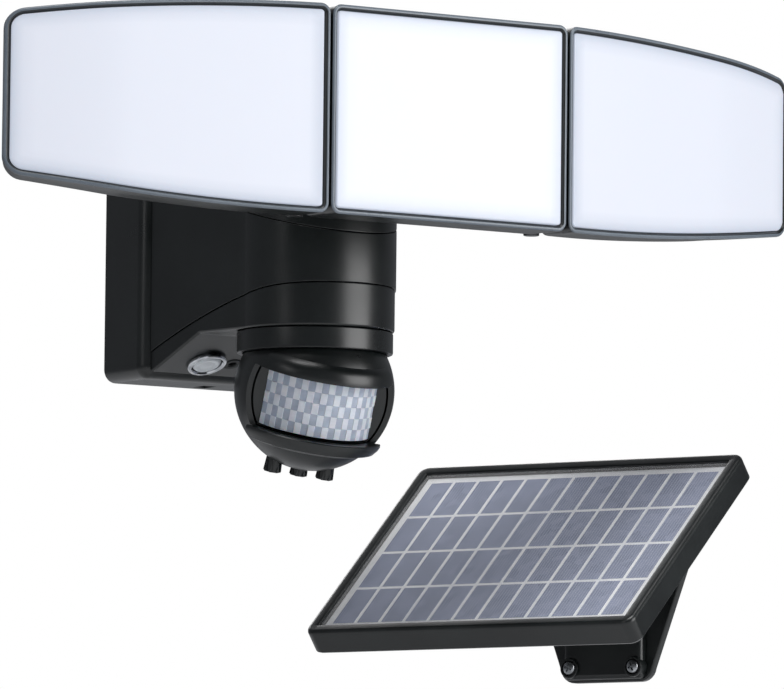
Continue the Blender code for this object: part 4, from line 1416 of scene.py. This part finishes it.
        rings = []
        for x in self.stations(inset):
            low = self.lost(x, inset)
            high = self.height - low
            side = min(x - x0, x1 - x)
            edge = min(front_round, back_round) or front_round or back_round
            heights = sorted({low + (high - low) * s for s in shares}
                             | {low + edge * k for k in (0.1, 0.35, 1.0)}
                             | {high - edge * k for k in (0.1, 0.35, 1.0)})
            front, back = [], []
            for z in heights:
                distance = min(z - low, high - z, side)
                front.append(self.spot(x, z, near + fall(distance, front_round)))
                back.append(self.spot(x, z, far - fall(distance, back_round)))
            rings.append(front + list(reversed(back)))
        return skin(name, rings, filled=True)

    def sheet(self) -> None:
        """Builds the opal sheet, with the attribute that sets its painted light, fading to painted shade at its
        rim.
        """
        inset = self.rim + GAP
        name, edge = f"{self.side}_opal_sheet", 0.5 * MM
        piece = self.block_between(name, inset, self.sheet_front, self.sheet_back, edge, 0.0)
        # This attribute greys the sheet towards its rim as painted shade.
        lit = piece.data.attributes.new("lit", "FLOAT", "POINT")
        for vert in piece.data.vertices:
            x = self.sign * vert.co.x
            low = self.lost(x, inset)
            ends = min(x - self.start, self.end - x) - inset
            distance = min(vert.co.z - low, self.height - low - vert.co.z, ends)
            share = min(1.0, max(0.0, distance / self.rim_shade_width))
            lit.data[vert.index].value = share * (2.0 - share)
        shade(piece, 40.0, False)
        self.shop.fit(piece, self.body, [f"{self.side}_diffuser"], "milky_diffuser", OPAL)

    def ribs(self) -> list[bpy.types.Object]:
        """Cooling ribs that run along the back of the housing."""
        made = []
        count, rise, half = 7, 1.4 * MM, 0.9 * MM
        margin = 14.0 * MM
        x0, x1 = self.start + margin, self.end - margin
        stations = [x0 + (x1 - x0) * i / self.middle_steps for i in range(self.middle_steps + 1)]
        for number in range(count):
            level = 17.0 * MM + (self.height - 34.0 * MM) * number / (count - 1)
            rings = []
            for i, x in enumerate(stations):
                thin = 0.35 if i in (0, len(stations) - 1) else 1.0
                base, top = self.depth - 0.4 * MM, self.depth + rise * thin
                rings.append([
                    self.spot(x, level - half, base),
                    self.spot(x, level - half * 0.7, top),
                    self.spot(x, level + half * 0.7, top),
                    self.spot(x, level + half, base),
                ])
            made.append(skin("rib", rings, filled=True))
        return made

    def housing(self, extras: Sequence[bpy.types.Object]) -> None:
        """Builds the rear housing with its ribs and what is moulded onto it.

        Args:
            extras: Ears and lugs that belong to this housing.
        """
        near = self.bezel_depth + GAP
        piece = self.block_between(f"{self.side}_rear_housing", 0.4 * MM, near, self.depth, 0.0, 3.0 * MM)
        join_pieces(piece, self.ribs() + list(extras))
        shade(piece, 35.0, False)
        self.shop.fit(piece, self.body, [f"{self.side}_housing"], "black_plastic", BLACK_ABS)

    def screws(self) -> None:
        """Builds the cross-head screws that close the housing from behind."""
        margin = 8.0 * MM
        spots = [(x, z) for x in (self.start + margin, self.end - 11.0 * MM) for z in (0.22, 0.78)]
        for number, (x, share) in enumerate(spots, 1):
            low = self.lost(x, 0.0)
            z = low + (self.height - 2 * low) * share
            screw = pan_screw(f"{self.side}_case_screw_{number}", 2.6 * MM, 1.0 * MM)
            out = Vector((-self.sign * self.lean(x), 1.0, 0.0)).normalized()
            turn = out.to_track_quat("Z", "Y").to_matrix().to_4x4()
            spot = Vector(self.spot(x, z, self.depth - 0.3 * MM))
            place_piece(screw, Matrix.Translation(spot) @ turn)
            self.shop.fit(screw, self.body, [], "zinc_steel", ZINC_STEEL)


def pan_screw(name: str, radius: float, rise: float) -> bpy.types.Object:
    """Builds a cross-head pan screw with its head up, its seat at the origin.

    Args:
        name: The piece's name.
        radius: Radius of the head.
        rise: Height of the head.

    Returns:
        The screw.
    """
    profile = [
        (0.0, rise),
        (radius * 0.55, rise * 0.97),
        (radius * 0.85, rise * 0.72),
        (radius, rise * 0.25),
        (radius, -rise * 0.2),
        (radius * 0.5, -rise * 0.2),
        (radius * 0.5, -rise * 1.2),
        (0.0, -rise * 1.2),
    ]
    screw = turned(name, profile, 40)
    arm, thin, deep = radius * 0.62, radius * 0.13, rise * 0.65
    cross = block("cross", (-arm, -thin, rise - deep), (arm, thin, rise * 2))
    weld(cross, block("cross_bar", (-thin, -arm, rise - deep), (thin, arm, rise * 2)))
    cut(screw, cross)
    shade(screw, 35.0, False)
    return screw


@dataclass
class Head:
    """The head: arm and tilt knuckle, the three panels and the hinges between them."""

    shop: Shop
    knuckle: float = 9.0 * MM
    lug_radius: float = 3.8 * MM
    ear_x: tuple[float, float] = (14.3 * MM, 19.0 * MM)
    centre_levels: tuple[tuple[float, float], ...] = ((12.0 * MM, 20.0 * MM), (73.0 * MM, 81.0 * MM))
    wing_levels: tuple[tuple[float, float], ...] = ((20.3 * MM, 28.0 * MM), (65.0 * MM, 72.7 * MM))

    def lugs(self, sign: float, inner: bool) -> list[bpy.types.Object]:
        """Hinge lugs with their webs for one side of a seam."""
        axis = joint("right_fold")[0]
        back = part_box("centre_housing")[0].y + 15.0 * MM
        near, far = 1.0 * MM, 9.0 * MM
        way = -sign if inner else sign
        x = sign * axis.x
        low_x, high_x = sorted((x + way * near, x + way * far))
        made = []
        for low, high in self.centre_levels if inner else self.wing_levels:
            web = block("web", (low_x, back - MM, low), (high_x, axis.y + 2 * MM, high))
            lug = bar("lug", (x, axis.y, low), (x, axis.y, high), self.lug_radius)
            weld(web, lug)
            cut(web, bar("bore", (x, axis.y, 0.0), (x, axis.y, 0.093), 1.8 * MM, 32))
            half, mid = (high - low) / 2, (high + low) / 2
            soften(web, 0.4 * MM, 2, 60.0, lambda place, _way: abs(abs(place.z - mid) - half) < WELD)
            made.append(web)
        return made

    def ears(self) -> list[bpy.types.Object]:
        """The two ears on the centre housing that the tilt bolt runs through."""
        axis = joint("head_tilt")[0]
        back = self.centre.front + self.centre.depth
        made = []
        for sign in (-1, 1):
            x0, x1 = sorted(sign * x for x in self.ear_x)
            ear = block("ear", (x0, back - MM, axis.z - self.knuckle), (x1, axis.y, axis.z + self.knuckle))
            weld(ear, bar("nose", (x0, axis.y, axis.z), (x1, axis.y, axis.z), self.knuckle, 64))
            cut(ear, bar("bore", (x0 - MM, axis.y, axis.z), (x1 + MM, axis.y, axis.z), 3.3 * MM))
            soften(ear, 0.5 * MM, 3, 60.0, lambda place, _way: place.y > back + MM)
            made.append(ear)
        return made

    def hinge_covers(self) -> None:
        """Small dark covers over the hinges at the foot and the top of both seams."""
        axis = joint("right_fold")[0]
        for side, sign in (("left", -1), ("right", 1)):
            for place, low, high in (("lower", 0.6 * MM, 3.2 * MM), ("upper", 89.8 * MM, 92.4 * MM)):
                x = sign * axis.x
                y0, y1 = axis.y - 5.0 * MM, axis.y + 5.2 * MM
                y = (y0 + y1) / 2
                cover = bar(f"{side}_{place}_hinge_cap", (x, y, low), (x, y, high), 3.6 * MM)
                soften(cover, 0.5 * MM, 3, 60.0)
                shade(cover)
                self.shop.fit(cover, "head", [], "black_plastic", BLACK_ABS)

    def arm(self, cover: Arm) -> None:
        """Builds the arm between the cover and the head, with its knuckle.

        Args:
            cover: Gives the height of the cover that the arm stands on.
        """
        axis = joint("head_tilt")[0]
        lift, half = 2 * GAP, 14.0 * MM
        outline = [
            (-106.0 * MM, cover.cover_top(-106.0 * MM) + lift),
            (-135.5 * MM, cover.cover_top(-135.5 * MM) + lift),
            (-146.0 * MM, 29.0 * MM),
            (axis.y + 2 * MM, axis.z - self.knuckle + GAP),
            (axis.y + 2 * MM, axis.z + self.knuckle - GAP),
            (-150.0 * MM, 53.0 * MM),
            (-118.0 * MM, 42.0 * MM),
            (-108.0 * MM, 36.0 * MM),
        ]
        rings = [[(x, y, z) for y, z in outline] for x in (-half, half)]
        arm = skin("head_arm_casting", rings, filled=True)
        weld(arm, bar("nose", (-half, axis.y, axis.z), (half, axis.y, axis.z), self.knuckle, 64))
        cut(arm, bar("bore", (-0.02, axis.y, axis.z), (0.02, axis.y, axis.z), 3.3 * MM))
        clear_y = axis.y + 12 * MM
        side = half - WELD
        soften(arm, 1.2 * MM, 3, 60.0, lambda place, _way: abs(place.x) > side and place.y > clear_y)
        shade(arm)
        self.shop.fit(arm, "fixture", ["head_arm"], "black_plastic", BLACK_ABS)

    def build(self, cover: Arm) -> None:
        """Builds the arm and the three panels.

        Args:
            cover: The lamp's arm, whose cover the head arm stands on.
        """
        self.centre = Panel(self.shop, "centre", "head", False, 1.0)
        left = Panel(self.shop, "left", "left_wing", True, -1.0)
        right = Panel(self.shop, "right", "right_wing", True, 1.0)
        self.arm(cover)
        extras = {
            "centre": self.ears() + self.lugs(-1, True) + self.lugs(1, True),
            "left": self.lugs(-1, False),
            "right": self.lugs(1, False),
        }
        self.hinge_covers()
        for panel in (self.centre, left, right):
            panel.bezel()
            panel.sheet()
            panel.housing(extras[panel.side])
            panel.screws()


# Solar panel ----------------------------------------------------------------------------------------------
@dataclass
class SolarPanel:
    """The solar panel: frame, glass and cells on one tilting piece, and the bracket that holds it."""

    shop: Shop
    tilt: float = math.radians(41.0)
    half_length: float = 89.0 * MM
    half_width: float = 63.5 * MM
    depth: float = 12.9 * MM
    rim: float = 6.0 * MM
    axis_back: float = 26.0 * MM
    axis_z: float = -7.0 * MM
    rows: int = 4
    columns: int = 12
    cell_gap: float = 1.7 * MM
    border: float = 3.0 * MM
    edge: float = 2.2 * MM
    nose: float = 7.5 * MM
    knuckle: float = 12.4 * MM
    wall_at: float = 74.5 * MM
    flange: float = 3.5 * MM
    bottom_z: float = -60.3 * MM
    top_z: float = 0.5 * MM
    screw_x: float = 17.5 * MM
    screw_z: float = -53.6 * MM
    mount: Matrix = field(init=False)
    stand: Matrix = field(init=False)
    face: Vector = field(init=False)

    def __post_init__(self) -> None:
        """Takes the tilt axis from its joint, and works out the bracket's and the panel's own frames."""
        spot, along = joint("solar_tilt")
        back = Vector((0.0, 0.0, 1.0)).cross(along)
        turn = Matrix((along, back, (0.0, 0.0, 1.0))).transposed()
        lean = turn @ Matrix.Rotation(self.tilt, 3, "X")
        centre = spot - turn @ Vector((0.0, self.axis_back, self.axis_z))
        self.mount = Matrix.Translation(centre) @ turn.to_4x4()
        self.stand = Matrix.Translation(spot) @ lean.to_4x4()
        self.face = lean.transposed() @ (centre - spot)

    def frame_piece(self) -> None:
        """Builds the frame: a moulded rectangle with round outer edges and a step for the glass."""
        fy, fz = self.face.y, self.face.z
        half_l, half_w = self.half_length, self.half_width

        def loop(inset: float, depth: float, radius: float) -> list[Point]:
            """Rounded rectangle, moved inwards by inset, at a depth under the face."""
            points = []
            r = max(0.05 * MM, radius - inset)
            steps = 8
            for corner, (sx, sy) in enumerate(((1, 1), (-1, 1), (-1, -1), (1, -1))):
                for i in range(steps + 1):
                    angle = QUARTER * (corner + i / steps)
                    x = sx * (half_l - inset - r) + r * math.cos(angle)
                    y = sy * (half_w - inset - r) + r * math.sin(angle)
                    points.append((x, fy + y, fz - depth))
            return points

        edge, outer, steps = self.edge, 5.5 * MM, 6
        rings = [loop(self.rim, self.depth, outer), loop(edge * 0.5, self.depth, outer)]
        rings.append(loop(0.0, self.depth - edge * 0.5, outer))
        for i in range(steps + 1):
            angle = QUARTER * i / steps
            rings.append(loop(edge * (1 - math.cos(angle)), edge * (1 - math.sin(angle)), outer))
        rings.append(loop(self.rim - 1.1 * MM, 0.05 * MM, outer))
        rings.append(loop(self.rim - 0.3 * MM, 0.45 * MM, outer))
        rings.append(loop(self.rim, 0.9 * MM, outer))
        piece = skin("solar_panel_frame", rings, closed=True)
        shade(piece, 35.0)
        place_piece(piece, self.stand)
        self.shop.fit(piece, "solar_head", ["solar_frame"], "black_plastic", BLACK_ABS)

    def glass_piece(self) -> None:
        """Builds the clear sheet over the cells, with ground edges."""
        low, high = self.inside(2.6 * MM, 1.0 * MM)
        piece = block("solar_cover_glass", low, high)
        soften(piece, 0.3 * MM, 2, 60.0)
        shade(piece)
        place_piece(piece, self.stand)
        self.shop.fit(piece, "solar_head", ["solar_glass"], "solar_glass", GLASS)

    def inside(self, deep: float, shallow: float) -> tuple[Vector, Vector]:
        """Corners of what lies inside the frame between two depths under the face."""
        half_l = self.half_length - self.rim - GAP
        half_w = self.half_width - self.rim - GAP
        fy, fz = self.face.y, self.face.z
        return Vector((-half_l, fy - half_w, fz - deep)), Vector((half_l, fy + half_w, fz - shallow))

    def cells(self) -> None:
        """Builds the white sheet with its grid of raised cells and the ribbons between them."""
        low, high = self.inside(4.1 * MM, 2.9 * MM)
        piece = block("solar_cell_sheet", low, (high.x, high.y, high.z - 0.2 * MM))
        top = high.z - 0.2 * MM
        mid_y = (low.y + high.y) / 2
        span_x, span_y = high.x - self.border, (high.y - low.y) / 2 - self.border
        pitch_x, pitch_y = 2 * span_x / self.columns, 2 * span_y / self.rows
        lines_x = [-span_x + pitch_x * i for i in range(self.columns + 1)]
        lines_y = [mid_y - span_y + pitch_y * i for i in range(self.rows + 1)]

        def tops(place: Vector, way: Vector) -> bool:
            """Whether a face is part of the sheet's top."""
            return way.z > 0.9 and place.z > top - WELD

        with editing(piece):
            for x in lines_x:
                pick(piece, Element.FACE, tops)
                bpy.ops.mesh.bisect(plane_co=(x, 0, 0), plane_no=(1, 0, 0))
            for y in lines_y:
                pick(piece, Element.FACE, tops)
                bpy.ops.mesh.bisect(plane_co=(0, y, 0), plane_no=(0, 1, 0))

            def on_cell(place: Vector, way: Vector) -> bool:
                """Whether a top face is a cell and not the border."""
                return tops(place, way) and abs(place.x) < span_x and abs(place.y - mid_y) < span_y

            pick(piece, Element.FACE, on_cell)
            bpy.ops.mesh.inset(thickness=self.cell_gap / 2, use_individual=True)
            bpy.ops.mesh.extrude_region_move(TRANSFORM_OT_translate={"value": (0.0, 0.0, 0.15 * MM)})
        cell = CELL_BLUE.build(self.stand.inverted())
        self.shop.made[CELL_BLUE.name] = cell
        for face in piece.data.polygons:
            face.material_index = 1 if face.center.z > top + 0.1 * MM else 0
        place_piece(piece, self.stand)
        self.shop.fit(piece, "solar_head", ["cell_sheet"], "solar_cell", BACK_SHEET, CELL_BLUE)

    def back_pieces(self) -> None:
        """Builds the back plate with its knuckle, the junction box and the cable gland."""
        fy, fz = self.face.y, self.face.z
        back_z = fz - self.depth
        low, high = self.inside(self.depth - 0.3 * MM, self.depth - 2.5 * MM)
        plate = block("solar_back_plate", low, high)
        soften(plate, 0.6 * MM, 2, 60.0)
        knuckle, nose = self.knuckle, self.nose
        web = block("web", (-knuckle, -nose, 0.0), (knuckle, nose, back_z + MM))
        weld(web, bar("nose", (-knuckle, 0, 0), (knuckle, 0, 0), nose, 64))
        cut(web, bar("bore", (-0.03, 0, 0), (0.03, 0, 0), 2.8 * MM))
        end_x = knuckle - WELD
        soften(web, 0.5 * MM, 3, 60.0, lambda place, _way: place.z < back_z - MM and abs(place.x) > end_x)
        plate = join_pieces(plate, [web])
        shade(plate)
        place_piece(plate, self.stand)
        self.shop.fit(plate, "solar_head", ["solar_back"], "black_plastic", BLACK_ABS)

        cover = block("solar_junction_box", (0.036, fy - 0.012, back_z - 0.010), (0.068, fy + 0.018, back_z))
        with editing(cover):
            pick(cover, Element.FACE, lambda place, way: way.z < -0.9)
            bpy.ops.mesh.inset(thickness=2.0 * MM)
            bpy.ops.mesh.extrude_region_move(TRANSFORM_OT_translate={"value": (0.0, 0.0, 0.6 * MM)})
        soften(cover, 0.9 * MM, 3, 60.0)
        shade(cover)
        place_piece(cover, self.stand)
        self.shop.fit(cover, "solar_head", ["junction_box"], "black_plastic", BLACK_ABS)

        gland_y, gland_z = fy - 12.3 * MM, back_z - 5.2 * MM
        steps = [(0.0, 0.0), (4.2, 0.0), (4.2, 2.4), (3.7, 2.7), (4.1, 3.0), (4.1, 4.2), (3.6, 4.5)]
        steps += [(3.9, 4.8), (3.8, 5.9), (3.4, 7.7), (2.2, 7.7), (2.2, 3.0), (0.0, 3.0)]
        gland = turned("solar_lead_gland", [(r * MM, z * MM) for r, z in steps], 64)
        shade(gland, 30.0, False)
        down = Matrix.Rotation(QUARTER, 4, "X")
        place_piece(gland, self.stand @ Matrix.Translation((52.0 * MM, gland_y, gland_z)) @ down)
        self.shop.fit(gland, "solar_head", ["cable_gland"], "black_plastic", PLUG_RUBBER)

    def bracket(self) -> None:
        """Builds the wall bracket: a flared flange, its channel, the two screw bosses and the ears."""
        front = self.wall_at - self.flange
        rise = self.top_z - self.bottom_z
        half_low = 24.0 * MM
        half_top = half_low + 0.348 * rise
        bottom, top = self.bottom_z, self.top_z
        corner, steps = 6.0 * MM, 6
        right = []
        for i in range(steps + 1):
            angle = QUARTER * i / steps
            x = half_low - corner + corner * math.sin(angle) + 1.4 * MM * i / steps
            right.append((x, bottom + corner * (1 - math.cos(angle))))
        right += [(half_top, top - 2 * MM), (half_top - 2 * MM, top)]
        outline = right + [(-x, z) for x, z in reversed(right)]
        rings = [[(x, y, z) for x, z in outline] for y in (front, self.wall_at)]
        piece = skin("solar_wall_bracket", rings, filled=True)
        soften(piece, 1.0 * MM, 3, 60.0, lambda place, _way: place.y < front + WELD)
        half, margin = 21.4 * MM, 1.2 * MM
        channel = block("channel", (-half, front - 4 * MM, bottom + margin), (half, front + MM, top - margin))
        soften(channel, 2.2 * MM, 4, 60.0, lambda place, _way: place.y < front)
        weld(piece, channel)
        axis_y, axis_z, nose = self.axis_back, self.axis_z, self.nose
        for sign in (-1, 1):
            x, z = sign * self.screw_x, self.screw_z
            boss = bar("boss", (x, front + MM, z), (x, front - 5.2 * MM, z), 4.8 * MM, 64)
            soften(boss, 0.5 * MM, 2, 60.0)
            x0, x1 = sorted((sign * (self.knuckle + GAP), sign * 17.0 * MM))
            ear = block("ear", (x0, axis_y, axis_z - nose), (x1, front + MM, axis_z + nose))
            weld(ear, bar("nose", (x0, axis_y, axis_z), (x1, axis_y, axis_z), nose, 64))
            weld(piece, boss, ear)
            cut(piece, bar("seat", (x, front - 4.0 * MM, z), (x, front - 9.0 * MM, z), 3.7 * MM, 64))
            cut(piece, bar("bore", (x, front - 10 * MM, z), (x, self.wall_at + 10 * MM, z), 2.2 * MM))
        cut(piece, bar("ear_bore", (-0.03, axis_y, axis_z), (0.03, axis_y, axis_z), 2.8 * MM))
        shade(piece, 30.0)
        place_piece(piece, self.mount)
        self.shop.fit(piece, "fixture", ["wall_bracket"], "black_plastic", BLACK_ABS)

        forward = Matrix.Rotation(QUARTER, 4, "X")
        for side, sign in (("left", -1), ("right", 1)):
            screw = pan_screw(f"bracket_cross_screw_{side}", 3.3 * MM, 1.7 * MM)
            shank = bar("shank", (0, 0, -1.5 * MM), (0, 0, -9.0 * MM), 1.9 * MM, 32)
            join_pieces(screw, [shank])
            seat = Matrix.Translation((sign * self.screw_x, front - 4.3 * MM, self.screw_z))
            turn = Matrix.Rotation(math.radians(20.0 * sign), 4, "Z")
            place_piece(screw, self.mount @ seat @ forward @ turn)
            self.shop.fit(screw, "fixture", [f"bracket_screw_{side}"], "zinc_steel", ZINC_STEEL)

        bolt = bar("solar_tilt_bolt", (-17.5 * MM, axis_y, axis_z), (17.5 * MM, axis_y, axis_z), 2.5 * MM)
        for sign in (-1, 1):
            x0, x1 = sorted((sign * 17.3 * MM, sign * 20.5 * MM))
            end = bar("bolt_end", (x0, axis_y, axis_z), (x1, axis_y, axis_z), 4.5 * MM, 6)
            soften(end, 0.4 * MM, 2, 50.0)
            join_pieces(bolt, [end])
        shade(bolt)
        place_piece(bolt, self.mount)
        self.shop.fit(bolt, "fixture", ["solar_bolt"], "zinc_steel", ZINC_STEEL)

    def build(self) -> None:
        """Builds the panel and its bracket."""
        self.frame_piece()
        self.glass_piece()
        self.cells()
        self.back_pieces()
        self.bracket()


# Parts that keep their CAD shape -------------------------------------------------------------------------
KEPT_FINISHES: dict[str, Finish] = {
    "black_plastic": BLACK_ABS,
    # The rim's grey is a painted highlight on black plastic.
    "grey_rim": RIM_PAINTED_HIGHLIGHT,
    "milky_diffuser": OPAL,
    "lamp_board": BOARD_WHITE,
    "zinc_steel": ZINC_STEEL,
    "battery_sleeve": SLEEVE,
    "circuit_board": BOARD_GREEN,
    "bright_ring": CHROME,
    "pale_button": BUTTON_RUBBER,
    "sensor_lens": LENS_PALE,
    "solar_glass": GLASS,
    "solar_cell": BACK_SHEET,
}


def dress_kept_nodes(shop: Shop) -> None:
    """Gives every CAD node that still shows its real finish, by the record's material slots."""
    for row in frame["record"]["subparts"]:
        node = frame["nodes"][row["node"]]
        if not node.hide_render:
            finish = KEPT_FINISHES[row["material_slot"]]
            shop.dress(node, finish)
            log.info("%s keeps its shape, finish %s", node.name, finish.name)


# Studio -----------------------------------------------------------------------------------------------------
@dataclass
class Studio:
    """Floor, light and camera round the object."""

    azimuth: float = math.radians(-33.5)
    elevation: float = math.radians(-5.3)
    roll: float = math.radians(-0.607)
    distance: float = 4.30
    lens_mm: float = 436.4
    sensor_mm: float = 36.0
    aim: tuple[float, float, float] = (0.02943, -0.12275, -0.04604)
    floor_z: float = -0.30
    floor_half: float = 0.95

    def towards(self, azimuth: float, elevation: float) -> Vector:
        """Direction from the object to a place round it."""
        return Vector((
            math.sin(azimuth) * math.cos(elevation),
            -math.cos(azimuth) * math.cos(elevation),
            math.sin(elevation),
        ))

    def camera(self) -> None:
        """Places the camera low in front, a little to the left."""
        data = bpy.data.cameras.new("camera")
        data.lens = self.lens_mm
        data.sensor_width = self.sensor_mm
        data.clip_start, data.clip_end = 0.1, 50.0
        made = bpy.data.objects.new("camera", data)
        bpy.context.scene.collection.objects.link(made)
        back = self.towards(self.azimuth, self.elevation)
        right = Vector((math.cos(self.azimuth), math.sin(self.azimuth), 0.0))
        up = back.cross(right)
        level = Matrix((right, up, back)).transposed()
        turn = level @ Matrix.Rotation(-self.roll, 3, "Z")
        made.matrix_world = Matrix.Translation(Vector(self.aim) + back * self.distance) @ turn.to_4x4()
        bpy.context.scene.camera = made

    def softbox(
        self,
        name: str,
        azimuth: float,
        elevation: float,
        reach: float,
        size: tuple[float, float],
        power: float,
    ) -> None:
        """Hangs a rectangular soft light that faces the object.

        Args:
            name: The light's name.
            azimuth: Where it hangs round the object, in degrees.
            elevation: Its height above the horizon, in degrees.
            reach: Its distance.
            size: Its width and height.
            power: Its power in watts.
        """
        data = bpy.data.lights.new(name, "AREA")
        data.shape = "RECTANGLE"
        data.size, data.size_y = size
        data.energy = power
        made = bpy.data.objects.new(name, data)
        bpy.context.scene.collection.objects.link(made)
        way = self.towards(math.radians(azimuth), math.radians(elevation))
        made.location = Vector(self.aim) + way * reach
        made.rotation_mode = "QUATERNION"
        made.rotation_quaternion = (-way).to_track_quat("-Z", "Y")

    def floor(self) -> None:
        """Lays the pale floor with a soft edge."""
        half, thick = self.floor_half, 0.01
        low = (self.aim[0] - half, self.aim[1] - half, self.floor_z - thick)
        high = (self.aim[0] + half, self.aim[1] + half, self.floor_z)
        piece = block("studio_floor", low, high)
        soften(piece, 4 * MM, 2, 60.0)
        finish = MouldedPlastic("pale_floor_laminate", "#e9eaec", 0.6, bloom="#eeeff1", grain_mm=6.0)
        piece.data.materials.append(finish.build())

    def sky(self) -> None:
        """White backdrop for the eye, and a dimmer even light on the object."""
        world = bpy.data.worlds.new("studio")
        bpy.context.scene.world = world
        world.use_nodes = True
        tree = world.node_tree
        tree.nodes.clear()
        seen = add(tree, "ShaderNodeLightPath").outputs["Is Camera Ray"]
        dim = add(tree, "ShaderNodeBackground", {"Color": linear("#f3f6ff"), "Strength": 0.20})
        bright = add(tree, "ShaderNodeBackground", {"Color": (1.0, 1.0, 1.0, 1.0), "Strength": 1.0})
        both = add(tree, "ShaderNodeMixShader", {0: seen, 1: dim.outputs[0], 2: bright.outputs[0]})
        add(tree, "ShaderNodeOutputWorld", {"Surface": both.outputs[0]})

    def build(self) -> None:
        """Sets up the floor, the lights and the camera."""
        bpy.context.scene.view_settings.view_transform = "Standard"
        self.sky()
        self.floor()
        self.camera()
        self.softbox("right_front", 30.0, 2.0, 1.7, (1.2, 1.5), 27.0)
        self.softbox("left_front", -78.0, 20.0, 2.4, (0.5, 1.0), 4.0)
        self.softbox("overhead", -25.0, 64.0, 1.8, (1.3, 0.8), 24.0)
        self.softbox("below", -60.0, -38.0, 2.0, (1.0, 0.6), 5.0)
        self.softbox("behind", 165.0, 30.0, 2.4, (1.4, 0.8), 16.0)


def main() -> None:
    """Builds every piece in order, from the wall to the solar panel."""
    logging.basicConfig(level=logging.INFO, format="%(name)s: %(message)s")
    studio = Studio()
    studio.build()
    shop = Shop()
    WallBox(shop).build()
    button = Button(shop)
    arm = Arm(shop)
    arm.upper()
    arm.lower(button)
    arm.cover()
    button.build()
    Sensor(shop).build()
    Head(shop).build(arm)
    SolarPanel(shop).build()
    dress_kept_nodes(shop)


if __name__ == "__main__":
    main()
